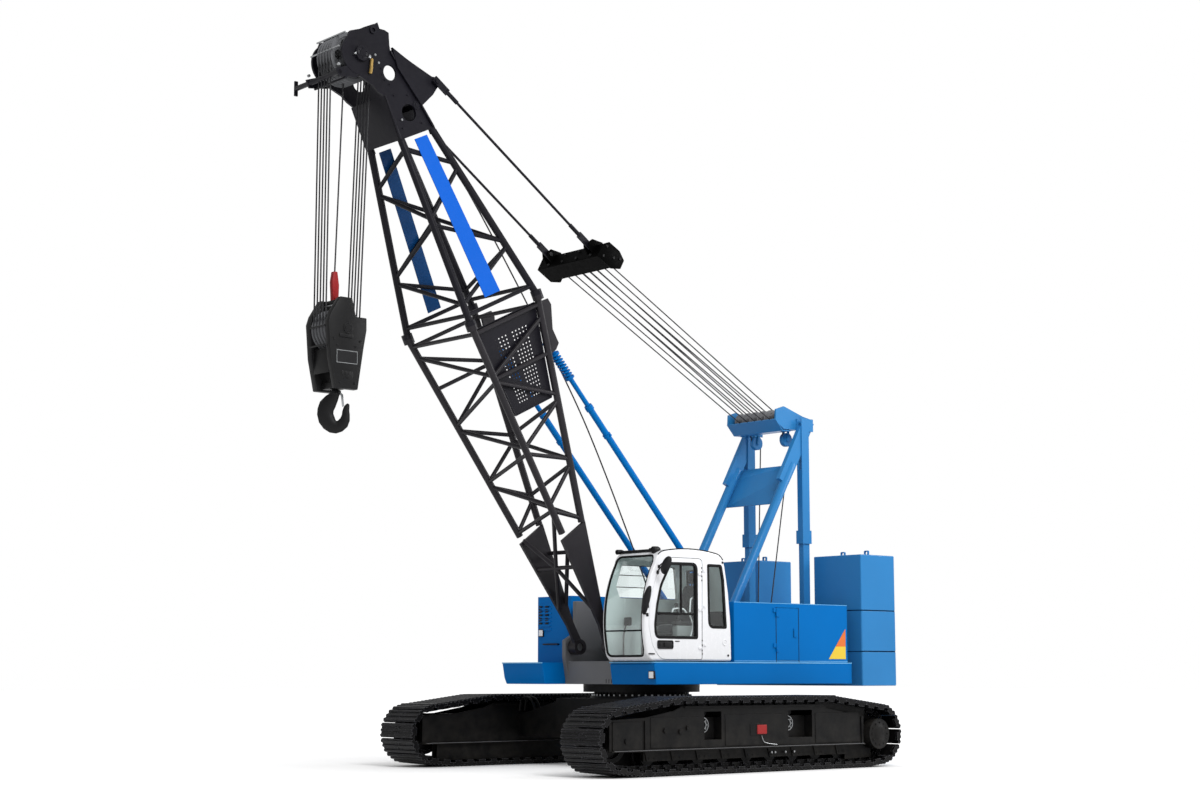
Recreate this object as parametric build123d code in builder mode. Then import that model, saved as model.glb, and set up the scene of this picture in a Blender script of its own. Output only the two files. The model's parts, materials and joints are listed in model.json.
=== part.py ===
from build123d import *
import math
import os

# Crawler crane of the 80 t class with its 9.15 m basic boom, in millimetres.
# Every piece is drawn about the swing axis: +X forward, +Y to the machine's left, +Z up, and
# the ground at Z = 0.  The export moves the pieces along X, so that the origin is under the
# middle of the crane's length.

# ---------------------------------------------------------------- driving dimensions
TRACK_GAUGE_HALF = 2077       # swing axis to the middle of a track
SHOE_WIDTH = 796
TRACK_END = 2993              # swing axis to the tip of a track
TRACK_WHEEL_X = 2550          # end wheels of a track
TRACK_WHEEL_Z = 480
TRACK_TOP = 1057
GROUND_KNEE = 2230            # the track leaves the ground here
TOP_KNEE = 1472               # and starts to fall here on top
SHOES = 58                    # shoes round one track
SHOE_RISE = 34                # a shoe's plate above its chain
SHOE_PLATE = 60               # thickness of the loop over its whole width
CHAIN_DEPTH = 125             # shoe and chain together
CHAIN_WIDTH = 240

DECK_BOTTOM = 1208
DECK_TOP = 1523
DECK_SIDE = 1504              # outer side of the left deck, the left house and the cab
FRAME_HALF = 560              # outer side of the revolving frame's webs
WEB = 80
LEG_Y = 600                   # A-frame legs

BOOM_FOOT = (940, 0, 1750)
BOOM_ANGLE = 63.7             # above the horizon, as it stands
BOOM_LOW = 30
BOOM_HIGH = 80
SECTION_JOINT = 5170          # along the boom: base section to tip section
HEAD_BASE = 7860              # along the boom: end of the lattice
CHORD = 51                    # radius of the boom's chords
LACING = 30                   # radius of the boom's lacing
POINT_SHEAVES = (9134, -529)  # along the boom, and towards its back
PENDANT_PIN = (8446, 494)
LINK_Y = (450, 476)           # link plates of the pendants, outside the lugs
BACKSTOP_PIN = (4440, 704)
BACKSTOP_Y = 530
SHEAVE_RIM = 350              # outer radius of the hoist sheaves

LUFF_NEST = (-2600, 0, 5380)  # shaft of the sheaves on the A-frame's head
LUFF_ANGLE = 28.4             # of the luffing ropes, above the horizon
BACKSTOP_FOOT = (-1127, 0, 2320)

FIT = 0.5                     # gap round a turning pin
SKIN = 6                      # gap round a door
HINGE_RADIUS = 11
HINGE_BARREL = 60             # height of one barrel of a hinge
HINGE_STEP = 64               # from a barrel of the door to one of the body, above it


# ---------------------------------------------------------------- helpers
def block(x, y, z, mode=Mode.ADD):
    """Add a box given by its ranges along X, Y and Z."""
    middle = [(a + b) / 2 for a, b in (x, y, z)]
    with Locations(tuple(middle)):
        Box(x[1] - x[0], y[1] - y[0], z[1] - z[0], mode=mode)


def rod(start, end, radius, mode=Mode.ADD):
    """Add a round bar from one point to another."""
    run = Vector(*end) - Vector(*start)
    with Locations(Plane(origin=start, z_dir=run)):
        Cylinder(radius, run.length, align=(Align.CENTER, Align.CENTER, Align.MIN), mode=mode)


def cross_rod(x, z, y, radius, mode=Mode.ADD):
    """Add a round bar along Y, between the two values of y."""
    rod((x, y[0], z), (x, y[1], z), radius, mode)


def side_plate(points, y, mode=Mode.ADD):
    """Add a plate whose outline is given as points (X, Z) and whose faces are at the two y."""
    with BuildSketch(Plane(origin=(0, y[1], 0), x_dir=(1, 0, 0), z_dir=(0, -1, 0))) as outline:
        with BuildLine():
            Polyline(*points, close=True)
        make_face()
    extrude(outline.sketch, amount=y[1] - y[0], mode=mode)


def boom_point(along, y, back):
    """A point of the boom, from its foot pin: along the boom, to the left, to its back."""
    angle = math.radians(BOOM_ANGLE)
    return (
        BOOM_FOOT[0] + along * math.cos(angle) - back * math.sin(angle),
        y,
        BOOM_FOOT[2] + along * math.sin(angle) + back * math.cos(angle),
    )


def boom_outline(points):
    """The same outline in X and Z, from points (along, back) of the boom."""
    return [(x, z) for x, _, z in (boom_point(a, 0, b) for a, b in points)]


def line_point(start, angle, distance, y=0.0, lift=0.0):
    """A point at a distance along a line that rises at an angle, lifted square to it."""
    turn = math.radians(angle)
    return (
        start[0] + distance * math.cos(turn) - lift * math.sin(turn),
        y,
        start[2] + distance * math.sin(turn) + lift * math.cos(turn),
    )


def add_hinge(x, y, heights, leaf, face):
    """Add hinge barrels on a vertical axis, with straps to a leaf at x = leaf and y = face."""
    for z in heights:
        rod((x, y, z), (x, y, z + HINGE_BARREL), HINGE_RADIUS)
        block(sorted((x, leaf)), sorted((face, y)), (z, z + HINGE_BARREL))


def keep(builder, label):
    """Write a finished piece, moved so that the origin is under the middle of the crane."""
    moved = builder.part.moved(Location((SWING_X, 0, 0)))
    moved.label = label
    export_step(moved, f"parts/{label}.step")


SIDES = (("left", 1), ("right", -1))
SHEAVE_CENTRE = boom_point(POINT_SHEAVES[0], 0, POINT_SHEAVES[1])
TAIL = -3968
GUARD_EAR = ((8850, -700), (9030, -700), (9060, -1000), (8940, -1000))
NOSE = boom_point(GUARD_EAR[2][0], 0, GUARD_EAR[2][1])[0]
SWING_X = -(TAIL + NOSE) / 2
os.makedirs("parts", exist_ok=True)


# ---------------------------------------------------------------- crawler: tracks
def tangent_point(point, radius, turn):
    """Where a straight run from a point touches the circle of the front end wheel."""
    dx, dz = point[0] - TRACK_WHEEL_X, point[1] - TRACK_WHEEL_Z
    angle = math.atan2(dz, dx) + turn * math.acos(radius / math.hypot(dx, dz))
    return TRACK_WHEEL_X + radius * math.cos(angle), TRACK_WHEEL_Z + radius * math.sin(angle)


def loop_wire(inset):
    """The track's closed loop in X and Z, inset from the outside of the shoes."""
    radius = TRACK_END - TRACK_WHEEL_X - inset
    ground = (GROUND_KNEE, inset)
    top = (TOP_KNEE, TRACK_TOP - inset)
    low = tangent_point(ground, radius, 1)
    high = tangent_point(top, radius, -1)
    tip = (TRACK_END - inset, TRACK_WHEEL_Z)
    front = (ground, low, tip, high, top)
    rear = [(-x, z) for x, z in front]
    with BuildLine() as line:
        Line(front[0], front[1])
        ThreePointArc(front[1], front[2], front[3])
        Line(front[3], front[4])
        Line(front[4], rear[4])
        Line(rear[4], rear[3])
        ThreePointArc(rear[3], rear[2], rear[1])
        Line(rear[1], rear[0])
        Line(rear[0], front[0])
    return line.wire()


def shoe_outline():
    """Points round the outside of the shoes: each is a raised plate with a gap to the next."""
    chain = loop_wire(SHOE_RISE)
    steps = ((0.05, 0), (0.09, SHOE_RISE), (0.91, SHOE_RISE), (0.95, 0))
    points = []
    for shoe in range(SHOES):
        for share, rise in steps:
            spot = chain.position_at((shoe + share) / SHOES)
            run = chain.tangent_at((shoe + share) / SHOES)
            points.append((spot.X + run.Y * rise, spot.Y - run.X * rise))
    return points


def make_track(side):
    middle = side * TRACK_GAUGE_HALF
    with BuildPart() as track:
        for wires, width in ((SHOE_PLATE, SHOE_WIDTH), (CHAIN_DEPTH, CHAIN_WIDTH)):
            plane = Plane(origin=(0, middle + width / 2, 0), x_dir=(1, 0, 0), z_dir=(0, -1, 0))
            with BuildSketch(plane) as ring:
                with BuildLine():
                    if width == SHOE_WIDTH:
                        Polyline(*shoe_outline(), close=True)
                    else:
                        add(loop_wire(SHOE_PLATE - 5))
                make_face()
                with BuildLine():
                    add(loop_wire(wires))
                make_face(mode=Mode.SUBTRACT)
            extrude(ring.sketch, amount=width)
    return track


for name, side in SIDES:
    keep(make_track(side), f"track_{name}")


# ---------------------------------------------------------------- crawler: wheels and frames
WHEEL_RADIUS = TRACK_END - TRACK_WHEEL_X - CHAIN_DEPTH - 4
ROLLER_RADIUS = 120
ROLLER_Z = CHAIN_DEPTH + ROLLER_RADIUS + 2
ROLLERS = 9
FORK = (150, 185)             # fork plates, from the middle of the track
BEAM_HALF = 280
CHEEK_PLATE = 20              # side plates of a track frame
MOTOR_RADIUS = 220
TRACK_CHEEK = ((-2280, 330), (-2280, 740), (-1500, 860), (-1380, 925), (1380, 925), (1560, 860),
               (2090, 775), (2710, 752), (2710, 330))
POCKETS = ((650, 980), (-1175, -680))     # openings in the outer plate, along X


def make_end_wheels(side):
    """Front idler and rear sprocket with their axles: two solids that don't touch."""
    middle = side * TRACK_GAUGE_HALF
    with BuildPart() as wheels:
        for x in (TRACK_WHEEL_X, -TRACK_WHEEL_X):
            cross_rod(x, TRACK_WHEEL_Z, (middle - 110, middle + 110), WHEEL_RADIUS)
            cross_rod(x, TRACK_WHEEL_Z, (middle - FORK[0], middle + FORK[0]), 90)
    return wheels


def make_rollers(side):
    """The row of bottom rollers and two carrier rollers, each its own solid."""
    middle = side * TRACK_GAUGE_HALF
    spots = [(-1880 + i * 3760 / (ROLLERS - 1), ROLLER_Z, ROLLER_RADIUS) for i in range(ROLLERS)]
    carrier = 80
    spots += [(x, TRACK_TOP - CHAIN_DEPTH - carrier - 4, carrier) for x in (-850, 850)]
    with BuildPart() as rollers:
        for x, z, radius in spots:
            cross_rod(x, z, (middle - 105, middle + 105), radius)
            if radius == ROLLER_RADIUS:
                cross_rod(x, z, (middle - FORK[0], middle + FORK[0]), 45)
    return rollers


def make_side_frame(side):
    """The welded beam inside a track, with its cheeks, roller flanges, end forks and motor."""
    middle = side * TRACK_GAUGE_HALF
    outer = middle + side * BEAM_HALF
    with BuildPart() as frame:
        block((-2080, 2080), (middle - BEAM_HALF, middle + BEAM_HALF), (390, 765))
        for cheek in (outer, middle - side * (BEAM_HALF - CHEEK_PLATE)):
            side_plate(TRACK_CHEEK, sorted((cheek, cheek - side * CHEEK_PLATE)))
        for plate in (1, -1):
            reach = sorted((middle + plate * FORK[0], middle + plate * FORK[1]))
            block((-2020, 2020), reach, (195, 392))
            for end in (1, -1):
                run = sorted((end * 2050, end * (TRACK_WHEEL_X + 130)))
                block(run, reach, (TRACK_WHEEL_Z - 130, TRACK_WHEEL_Z + 130))
        for x in POCKETS:
            pocket = sorted((outer, outer - side * 160))
            block(x, pocket, (460, 845), mode=Mode.SUBTRACT)
        motor = sorted((middle + side * FORK[1], outer + side * 70))
        cross_rod(-TRACK_WHEEL_X, TRACK_WHEEL_Z, motor, MOTOR_RADIUS)
        hub = sorted((middle + side * FORK[1], middle + side * (FORK[1] + 60)))
        cross_rod(TRACK_WHEEL_X, TRACK_WHEEL_Z, hub, 120)
        for x in (-850, 850):
            block((x - 70, x + 70), (middle - 50, middle + 50), (760, 768))
    return frame


for name, side in SIDES:
    keep(make_end_wheels(side), f"track_wheels_{name}")
    keep(make_rollers(side), f"track_rollers_{name}")
    keep(make_side_frame(side), f"side_frame_{name}")


# ---------------------------------------------------------------- crawler: car body
CARBODY_TOP = 1000
RING_TOP = 1150


def make_carbody():
    """Centre box under the slew ring, with two cross beams to the side frames."""
    reach = TRACK_GAUGE_HALF - BEAM_HALF
    with BuildPart() as body:
        block((-950, 950), (-850, 850), (520, CARBODY_TOP))
        for x in (-700, 700):
            outline = [(-reach, 420), (reach, 420), (reach, 740), (850, 960), (-850, 960),
                       (-reach, 740)]
            plane = Plane(origin=(x - 200, 0, 0), x_dir=(0, 1, 0), z_dir=(1, 0, 0))
            with BuildSketch(plane) as beam:
                with BuildLine():
                    Polyline(*outline, close=True)
                make_face()
            extrude(beam.sketch, amount=400)
        with Locations((0, 0, CARBODY_TOP - 5)):
            Cylinder(760, 40, align=(Align.CENTER, Align.CENTER, Align.MIN))
    return body


def make_slew_ring_lower():
    """Toothed outer ring of the slewing bearing, fixed to the car body."""
    teeth = 60
    with BuildPart() as ring:
        with Locations((0, 0, CARBODY_TOP + 35)):
            Cylinder(690, RING_TOP - CARBODY_TOP - 35, align=(Align.CENTER, Align.CENTER, Align.MIN))
            Cylinder(560, RING_TOP - CARBODY_TOP - 35, align=(Align.CENTER, Align.CENTER, Align.MIN),
                     mode=Mode.SUBTRACT)
        with Locations((0, 0, CARBODY_TOP + 35)):
            with PolarLocations(690, teeth):
                Box(36, 34, 80, align=(Align.CENTER, Align.CENTER, Align.MIN))
    return ring


def make_slew_ring_upper():
    """Inner ring of the bearing, bolted under the revolving frame."""
    with BuildPart() as ring:
        with Locations((0, 0, RING_TOP + 6)):
            Cylinder(680, DECK_BOTTOM - RING_TOP - 6, align=(Align.CENTER, Align.CENTER, Align.MIN))
            Cylinder(560, DECK_BOTTOM - RING_TOP - 6, align=(Align.CENTER, Align.CENTER, Align.MIN),
                     mode=Mode.SUBTRACT)
    return ring


keep(make_carbody(), "carbody")
keep(make_slew_ring_lower(), "slew_ring_outer")
keep(make_slew_ring_upper(), "slew_ring_inner")


# ---------------------------------------------------------------- upper: frame and decks
FRAME_FRONT = 1020
CW_FRONT = -3127
LEG_FOOT = (-950, 1720)       # pin of the A-frame's front legs
LEG_REAR_X = -2935


def make_main_frame():
    """Floor and two webs with the lugs for the boom foot and the A-frame."""
    inner = FRAME_HALF - WEB
    with BuildPart() as frame:
        block((CW_FRONT, FRAME_FRONT), (-FRAME_HALF, FRAME_HALF), (DECK_BOTTOM, 1290))
        block((FRAME_FRONT - 40, FRAME_FRONT), (-FRAME_HALF, FRAME_HALF), (1285, 1540))
        for side in (1, -1):
            web = sorted((side * inner, side * FRAME_HALF))
            side_plate([(CW_FRONT, 1285), (FRAME_FRONT, 1285), (FRAME_FRONT + 60, 1600),
                        (FRAME_FRONT + 60, 1850), (870, 1960), (870, 2430), (560, 2430),
                        (250, 1640), (CW_FRONT, 1640)], web)
            foot = sorted((side * (LEG_Y - 55), side * (LEG_Y - 25)))
            lug = [(LEG_FOOT[0] - 140, 1560), (LEG_FOOT[0] + 140, 1560),
                   (LEG_FOOT[0] + 70, LEG_FOOT[1] + 80), (LEG_FOOT[0] - 70, LEG_FOOT[1] + 80)]
            side_plate(lug, foot)
        cross_rod(BOOM_FOOT[0], BOOM_FOOT[2], (-FRAME_HALF - 10, FRAME_HALF + 10), 60 + FIT,
                  mode=Mode.SUBTRACT)
    return frame


def make_boom_foot_pins():
    """The two pins on which the boom turns."""
    with BuildPart() as pins:
        for side in (1, -1):
            reach = sorted((side * 330, side * (FRAME_HALF + 8)))
            cross_rod(BOOM_FOOT[0], BOOM_FOOT[2], reach, 60)
            cap = sorted((side * FRAME_HALF, side * (FRAME_HALF + 8)))
            cross_rod(BOOM_FOOT[0], BOOM_FOOT[2], cap, 82)
    return pins


def make_deck_left():
    """Skirted deck under the cab and the left house."""
    with BuildPart() as deck:
        side_plate([(-3000, DECK_BOTTOM), (1080, DECK_BOTTOM), (1127, DECK_TOP),
                    (-3000, DECK_TOP)], (FRAME_HALF, DECK_SIDE))
        front = deck.edges().filter_by(Axis.Y).group_by(Axis.X)[-1]
        chamfer(front.sort_by(Axis.Z)[0], 40)
    return deck


def make_deck_right():
    """Skirted deck under the right house, with the step in front of it."""
    with BuildPart() as deck:
        side_plate([(-3000, DECK_BOTTOM), (1400, DECK_BOTTOM), (1458, DECK_TOP),
                    (-3000, DECK_TOP)], (-1509, -FRAME_HALF))
        step = Plane(origin=(0, -1509, DECK_BOTTOM), x_dir=(1, 0, 0), z_dir=(0, -1, -0.35))
        split(bisect_by=step.offset(-30), keep=Keep.BOTTOM)
    return deck


keep(make_main_frame(), "main_frame")
keep(make_boom_foot_pins(), "boom_foot_pins")
keep(make_deck_left(), "deck_left")
keep(make_deck_right(), "deck_right")


# ---------------------------------------------------------------- upper: houses
HOUSE_INNER = 700
HOUSE_FRONT = -460
HOUSE_REAR = -2902
LEFT_HOUSE_TOP = 2403
RIGHT_HOUSE_TOP = 2520
RIGHT_HOUSE_FRONT = 780
RIGHT_HOUSE_SIDE = -1490
WALL = 32
LEFT_DOOR = (-1822, -1338, 1560, 2330)    # X range and Z range of the left house's door
RIGHT_DOOR = (-1500, -560, 1580, 2440)


HOUSE_HINGES = (1680, 2200)


def hinge_line(door, outer, side):
    """Where a house door's hinge axis stands: just off its front edge."""
    return door[1] + 3, outer + side * 16


def make_house(x, y, top, door, door_side):
    """A hollow sheet metal house with the opening for its door."""
    outer = max(y) if door_side > 0 else min(y)
    cut = sorted((outer + door_side * 20, outer - door_side * (WALL + 20)))
    with BuildPart() as house:
        block(x, y, (DECK_TOP, top))
        block((x[0] + WALL, x[1] - WALL), (y[0] + WALL, y[1] - WALL),
              (DECK_TOP + WALL, top - WALL), mode=Mode.SUBTRACT)
        block((door[0] - SKIN, door[1] + SKIN), cut, (door[2] - SKIN, door[3] + SKIN),
              mode=Mode.SUBTRACT)
        hinge_x, hinge_y = hinge_line(door, outer, door_side)
        heights = [z + HINGE_STEP for z in HOUSE_HINGES]
        add_hinge(hinge_x, hinge_y, heights, hinge_x + 60, outer)
        if door_side < 0:
            for i in range(7):
                block((x[1] - 5, x[1] + 14), (-1420, -1180), (2010 + i * 62, 2040 + i * 62))
    return house


def make_house_door(door, outer, side):
    """A door panel with a recessed pull, hinged along its front edge."""
    panel = sorted((outer, outer - side * WALL))
    grip = sorted((outer, outer + side * 14))
    with BuildPart() as leaf:
        block((door[0], door[1]), panel, (door[2], door[3]))
        block((door[0] + 50, door[0] + 110), grip, (1900, 2030))
        hinge_x, hinge_y = hinge_line(door, outer, side)
        add_hinge(hinge_x, hinge_y, HOUSE_HINGES, hinge_x - 60, outer)
    return leaf


def make_engine():
    """Engine and pump as one heavy block in the right house."""
    with BuildPart() as engine:
        block((-1900, -400), (-1340, -780), (DECK_TOP + WALL, 2330))
    return engine


keep(make_house((HOUSE_REAR, HOUSE_FRONT), (HOUSE_INNER, DECK_SIDE), LEFT_HOUSE_TOP, LEFT_DOOR, 1),
     "house_left")
keep(make_house((HOUSE_REAR, RIGHT_HOUSE_FRONT), (RIGHT_HOUSE_SIDE, -HOUSE_INNER),
                RIGHT_HOUSE_TOP, RIGHT_DOOR, -1), "house_right")
keep(make_house_door(LEFT_DOOR, DECK_SIDE, 1), "house_door_left")
keep(make_house_door(RIGHT_DOOR, RIGHT_HOUSE_SIDE, -1), "house_door_right")
keep(make_engine(), "engine")


# ---------------------------------------------------------------- upper: counterweight
CW_HALF = 1605
CW_INNER = 620
EYE_HOLE = 24                 # radius of the holes in the lifting eyes
CW_LEVELS = (1173, 1700, 2330, 3192)


def make_counterweight(level, y):
    """One cast slab of the counterweight."""
    with BuildPart() as slab:
        block((TAIL, CW_FRONT), y, (CW_LEVELS[level], CW_LEVELS[level + 1]))
        corners = slab.edges().filter_by(Axis.Z).group_by(Axis.X)[0]
        chamfer(corners, 60)
        if level == 2:
            for share in (0.25, 0.75):
                spot = y[0] + (y[1] - y[0]) * share
                block((TAIL + 400, TAIL + 440), (spot - 45, spot + 45), (3190, 3275))
                rod((TAIL + 390, spot, 3236), (TAIL + 450, spot, 3236), EYE_HOLE,
                    mode=Mode.SUBTRACT)
    return slab


keep(make_counterweight(0, (-CW_HALF, CW_HALF)), "counterweight_base")
keep(make_counterweight(1, (-CW_HALF, CW_HALF)), "counterweight_middle")
keep(make_counterweight(2, (CW_INNER, CW_HALF)), "counterweight_top_left")
keep(make_counterweight(2, (-CW_HALF, -CW_INNER)), "counterweight_top_right")


# ---------------------------------------------------------------- upper: winches
WINCHES = (                   # X, Z, drum radius, flange radius
    (-60, 1760, 210, 320),
    (-1650, 1760, 210, 320),
    (-2400, 1720, 170, 270),
)


def make_winches():
    """Two main drums and the luffing drum between the webs: solids that don't touch."""
    reach = FRAME_HALF - WEB
    with BuildPart() as drums:
        for x, z, drum, flange in WINCHES:
            cross_rod(x, z, (-reach, reach), 90)
            cross_rod(x, z, (-330, 330), drum)
            for side in (1, -1):
                rim = sorted((side * 330, side * 355))
                cross_rod(x, z, rim, flange)
                block((x - 130, x + 130), sorted((side * (reach - 60), side * reach)), (1290, z + 130))
    return drums


keep(make_winches(), "winches")


# ---------------------------------------------------------------- upper: A-frame
FRAME_HEAD = (-3060, 5300)
LEG_TUBE = 72
LEG_HALF = 82                 # half width of a rear leg, along X


def make_aframe_front():
    """The two raking legs with their wide top plates, the cross plate and backstop lugs."""
    head = Vector(FRAME_HEAD[0], 0, FRAME_HEAD[1])
    foot = Vector(LEG_FOOT[0], 0, LEG_FOOT[1])
    run = head - foot
    rake = math.degrees(math.atan2(run.Z, run.X))
    length = run.length
    with BuildPart() as legs:
        for side in (1, -1):
            y = side * LEG_Y
            start = line_point(tuple(foot), rake, 110, y)
            rod(start, line_point(tuple(foot), rake, length - 765, y), LEG_TUBE)
            wide = [line_point(tuple(foot), rake, along, 0, lift) for along, lift in (
                (length - 1120, 66), (length - 1140, -148), (length - 150, -158),
                (length - 20, -110), (length + 75, -10), (length + 55, 80), (length - 170, 84))]
            side_plate([(p[0], p[2]) for p in wide], sorted((y - 38, y + 38)))
            eye = [line_point(tuple(foot), rake, along, 0, lift) for along, lift in (
                (-90, -60), (-90, 60), (150, 70), (150, -70))]
            side_plate([(p[0], p[2]) for p in eye], sorted((side * (LEG_Y - 22), side * (LEG_Y + 25))))
            lug = [line_point(tuple(foot), rake, along, 0, lift) for along, lift in (
                (520, -40), (760, -40), (640, -300), (540, -300))]
            side_plate([(p[0], p[2]) for p in lug],
                       sorted((side * (BACKSTOP_Y + 55), side * (BACKSTOP_Y + 80))))
        plate = [line_point(tuple(foot), rake, along, 0, lift) for along, lift in (
            (2700, 70), (2700, 86), (3430, 86), (3430, 70))]
        side_plate([(p[0], p[2]) for p in plate], (-LEG_Y, LEG_Y))
    return legs


def make_aframe_rear():
    """The two upright rear legs, each an upper tube pinned to a lower strut."""
    with BuildPart() as legs:
        for side in (1, -1):
            y = side * LEG_Y
            side_y = sorted((y - 55, y + 55))
            block((LEG_REAR_X - LEG_HALF, LEG_REAR_X + LEG_HALF), side_y, (3480, 4560))
            for cheek in ((y - 56, y - 38), (y + 38, y + 56)):
                block((LEG_REAR_X - LEG_HALF, LEG_REAR_X + LEG_HALF), cheek, (4540, 5200))
                block((FRAME_HEAD[0] - 60, LEG_REAR_X + LEG_HALF), cheek, (5180, 5380))
            block((LEG_REAR_X - 95, LEG_REAR_X + 100), sorted((y - 75, y + 75)), (3390, 3600))
            block((LEG_REAR_X - 70, LEG_REAR_X + 70), sorted((y - 50, y + 50)), (1640, 3400))
    return legs


def make_aframe_head():
    """The head between the legs: shaft, side plates round the sheave nest and its tray."""
    nest = (LUFF_NEST[0], LUFF_NEST[2])
    inner = LEG_Y - 56
    with BuildPart() as head:
        cross_rod(FRAME_HEAD[0], FRAME_HEAD[1], (-inner, inner), 70)
        for side in (1, -1):
            cheek = sorted((side * (inner - 30), side * inner))
            side_plate([(FRAME_HEAD[0] - 110, 5200), (FRAME_HEAD[0] - 110, 5400),
                        (FRAME_HEAD[0] + 60, 5430), (nest[0] + 30, 5560), (nest[0] + 210, 5500),
                        (nest[0] + 220, 5330), (nest[0] + 40, 5200)], cheek)
        side_plate([(nest[0] - 120, 5170), (nest[0] - 120, 5182), (nest[0] + 60, 5182),
                    (nest[0] + 215, 5350), (nest[0] + 228, 5340), (nest[0] + 66, 5170)],
                   (-inner, inner))
        cross_rod(nest[0], nest[1], (-inner, inner), 44)
        for y in (330, -330):
            cross_rod(-2830, 5060, (y - 35, y + 35), 110)
            block((-2850, -2810), sorted((y - 60, y - 40)), (5050, 5230))
            block((-2850, -2810), sorted((y + 40, y + 60)), (5050, 5230))
            cross_rod(-2830, 5060, (y - 60, y + 60), 30)
    return head


NEST_RADIUS = 150
NEST_SHEAVES = 6
NEST_SPACING = 165


def make_nest(centre_x, centre_z, bore):
    """A row of rope sheaves on one shaft."""
    with BuildPart() as sheaves:
        half = NEST_SPACING * (NEST_SHEAVES - 1) / 2
        cross_rod(centre_x, centre_z, (-half - 30, half + 30), bore + 26)
        for i in range(NEST_SHEAVES):
            y = -half + i * NEST_SPACING
            cross_rod(centre_x, centre_z, (y - 24, y + 24), NEST_RADIUS)
        cross_rod(centre_x, centre_z, (-half - 40, half + 40), bore, mode=Mode.SUBTRACT)
    return sheaves


keep(make_aframe_front(), "aframe_front_legs")
keep(make_aframe_rear(), "aframe_rear_legs")
keep(make_aframe_head(), "aframe_head")
keep(make_nest(LUFF_NEST[0], LUFF_NEST[2], 44 + FIT), "luff_sheaves")


# ---------------------------------------------------------------- upper: cab
CAB_INNER = 600
CAB_OUTER = 1500
CAB_FLOOR = 1540
CAB_WALL = 45
CAB_HINGE = (187, 1530)
CAB_HINGES = (1700, 2250, 2760)
QUARTER_WINDOW = ((-340, 2030), (20, 2040), (80, 2950), (-230, 2950), (-300, 2800))
FAR_WINDOW = ((-260, 2100), (1000, 1980), (1120, 2300), (820, 2920), (-220, 2900))
DOOR_OUTLINE = ((190, 1590), (1030, 1590), (1150, 1830), (1180, 2250), (1000, 2670), (850, 2960),
                (190, 2990))


def cab_profile(inset):
    """The cab seen from the side: upright back, domed roof and bowed windscreen."""
    plane = Plane(origin=(0, 0, 0), x_dir=(1, 0, 0), z_dir=(0, -1, 0))
    with BuildSketch(plane) as profile:
        with BuildLine():
            Line((-420, CAB_FLOOR), (1180, CAB_FLOOR))
            Line((1180, CAB_FLOOR), (1262, 1720))
            ThreePointArc((1262, 1720), (1287, 2200), (980, 2950))
            ThreePointArc((980, 2950), (860, 3070), (660, 3120))
            ThreePointArc((660, 3120), (200, 3145), (-120, 3090))
            ThreePointArc((-120, 3090), (-300, 2985), (-380, 2800))
            Line((-380, 2800), (-420, 2400))
            Line((-420, 2400), (-420, CAB_FLOOR))
        make_face()
        if inset:
            offset(amount=-inset, kind=Kind.INTERSECTION)
    return profile.sketch


def cab_prism(inset, y, mode=Mode.ADD):
    """The cab's profile, inset, between two values of y."""
    outline = cab_profile(inset).moved(Location((0, y[1], 0)))
    extrude(outline, amount=y[1] - y[0], mode=mode)


def make_cab():
    """Hollow cab shell with its window and door openings."""
    side = (CAB_OUTER - CAB_WALL - 20, CAB_OUTER + 20)
    far = (CAB_INNER - 20, CAB_INNER + CAB_WALL + 20)
    with BuildPart() as cab:
        cab_prism(0, (CAB_INNER, CAB_OUTER))
        cab_prism(CAB_WALL, (CAB_INNER + CAB_WALL, CAB_OUTER - CAB_WALL), mode=Mode.SUBTRACT)
        grow = [(x + (SKIN if x > 600 else -SKIN), z + (SKIN if z > 2300 else -SKIN))
                for x, z in DOOR_OUTLINE]
        side_plate(grow, side, mode=Mode.SUBTRACT)
        side_plate(QUARTER_WINDOW, side, mode=Mode.SUBTRACT)
        side_plate(FAR_WINDOW, far, mode=Mode.SUBTRACT)
        block((1000, 1400), (CAB_INNER + 60, CAB_OUTER - 60), (1640, 2850), mode=Mode.SUBTRACT)
        block((860, 1400), (CAB_INNER + 60, CAB_OUTER - 60), (2700, 2985), mode=Mode.SUBTRACT)
        block((-500, -300), (CAB_INNER + 120, CAB_OUTER - 120), (2150, 2780), mode=Mode.SUBTRACT)
        heights = [z + HINGE_STEP for z in CAB_HINGES]
        add_hinge(*CAB_HINGE, heights, CAB_HINGE[0] - 70, CAB_OUTER)
    return cab


def make_cab_glass():
    """Fixed panes: windscreen, quarter, far side and rear window."""
    with BuildPart() as panes:
        cab_prism(14, (CAB_INNER + 60, CAB_OUTER - 60))
        cab_prism(22, (CAB_INNER + 40, CAB_OUTER - 40), mode=Mode.SUBTRACT)
        block((860, 1400), (CAB_INNER, CAB_OUTER), (1640, 2985), mode=Mode.INTERSECT)
        side_plate(QUARTER_WINDOW, (CAB_OUTER - 20, CAB_OUTER - 12))
        side_plate(FAR_WINDOW, (CAB_INNER + 12, CAB_INNER + 20))
        side_plate([(-418, 2150), (-410, 2150), (-378, 2780), (-386, 2780)],
                   (CAB_INNER + 120, CAB_OUTER - 120))
    return panes


DOOR_WINDOW = ((290, 1850), (1075, 1850), (1095, 2020), (1090, 2260), (930, 2650), (780, 2930),
               (310, 2940))


def make_cab_door():
    """Cab door with its window opening and handle, hinged along its rear edge."""
    with BuildPart() as door:
        side_plate(DOOR_OUTLINE, (CAB_OUTER - CAB_WALL, CAB_OUTER))
        side_plate(DOOR_WINDOW, (CAB_OUTER - 90, CAB_OUTER + 20), mode=Mode.SUBTRACT)
        block((860, 1010), (CAB_OUTER - 2, CAB_OUTER + 26), (1740, 1810))
        add_hinge(*CAB_HINGE, CAB_HINGES, CAB_HINGE[0] + 70, CAB_OUTER)
    return door


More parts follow.
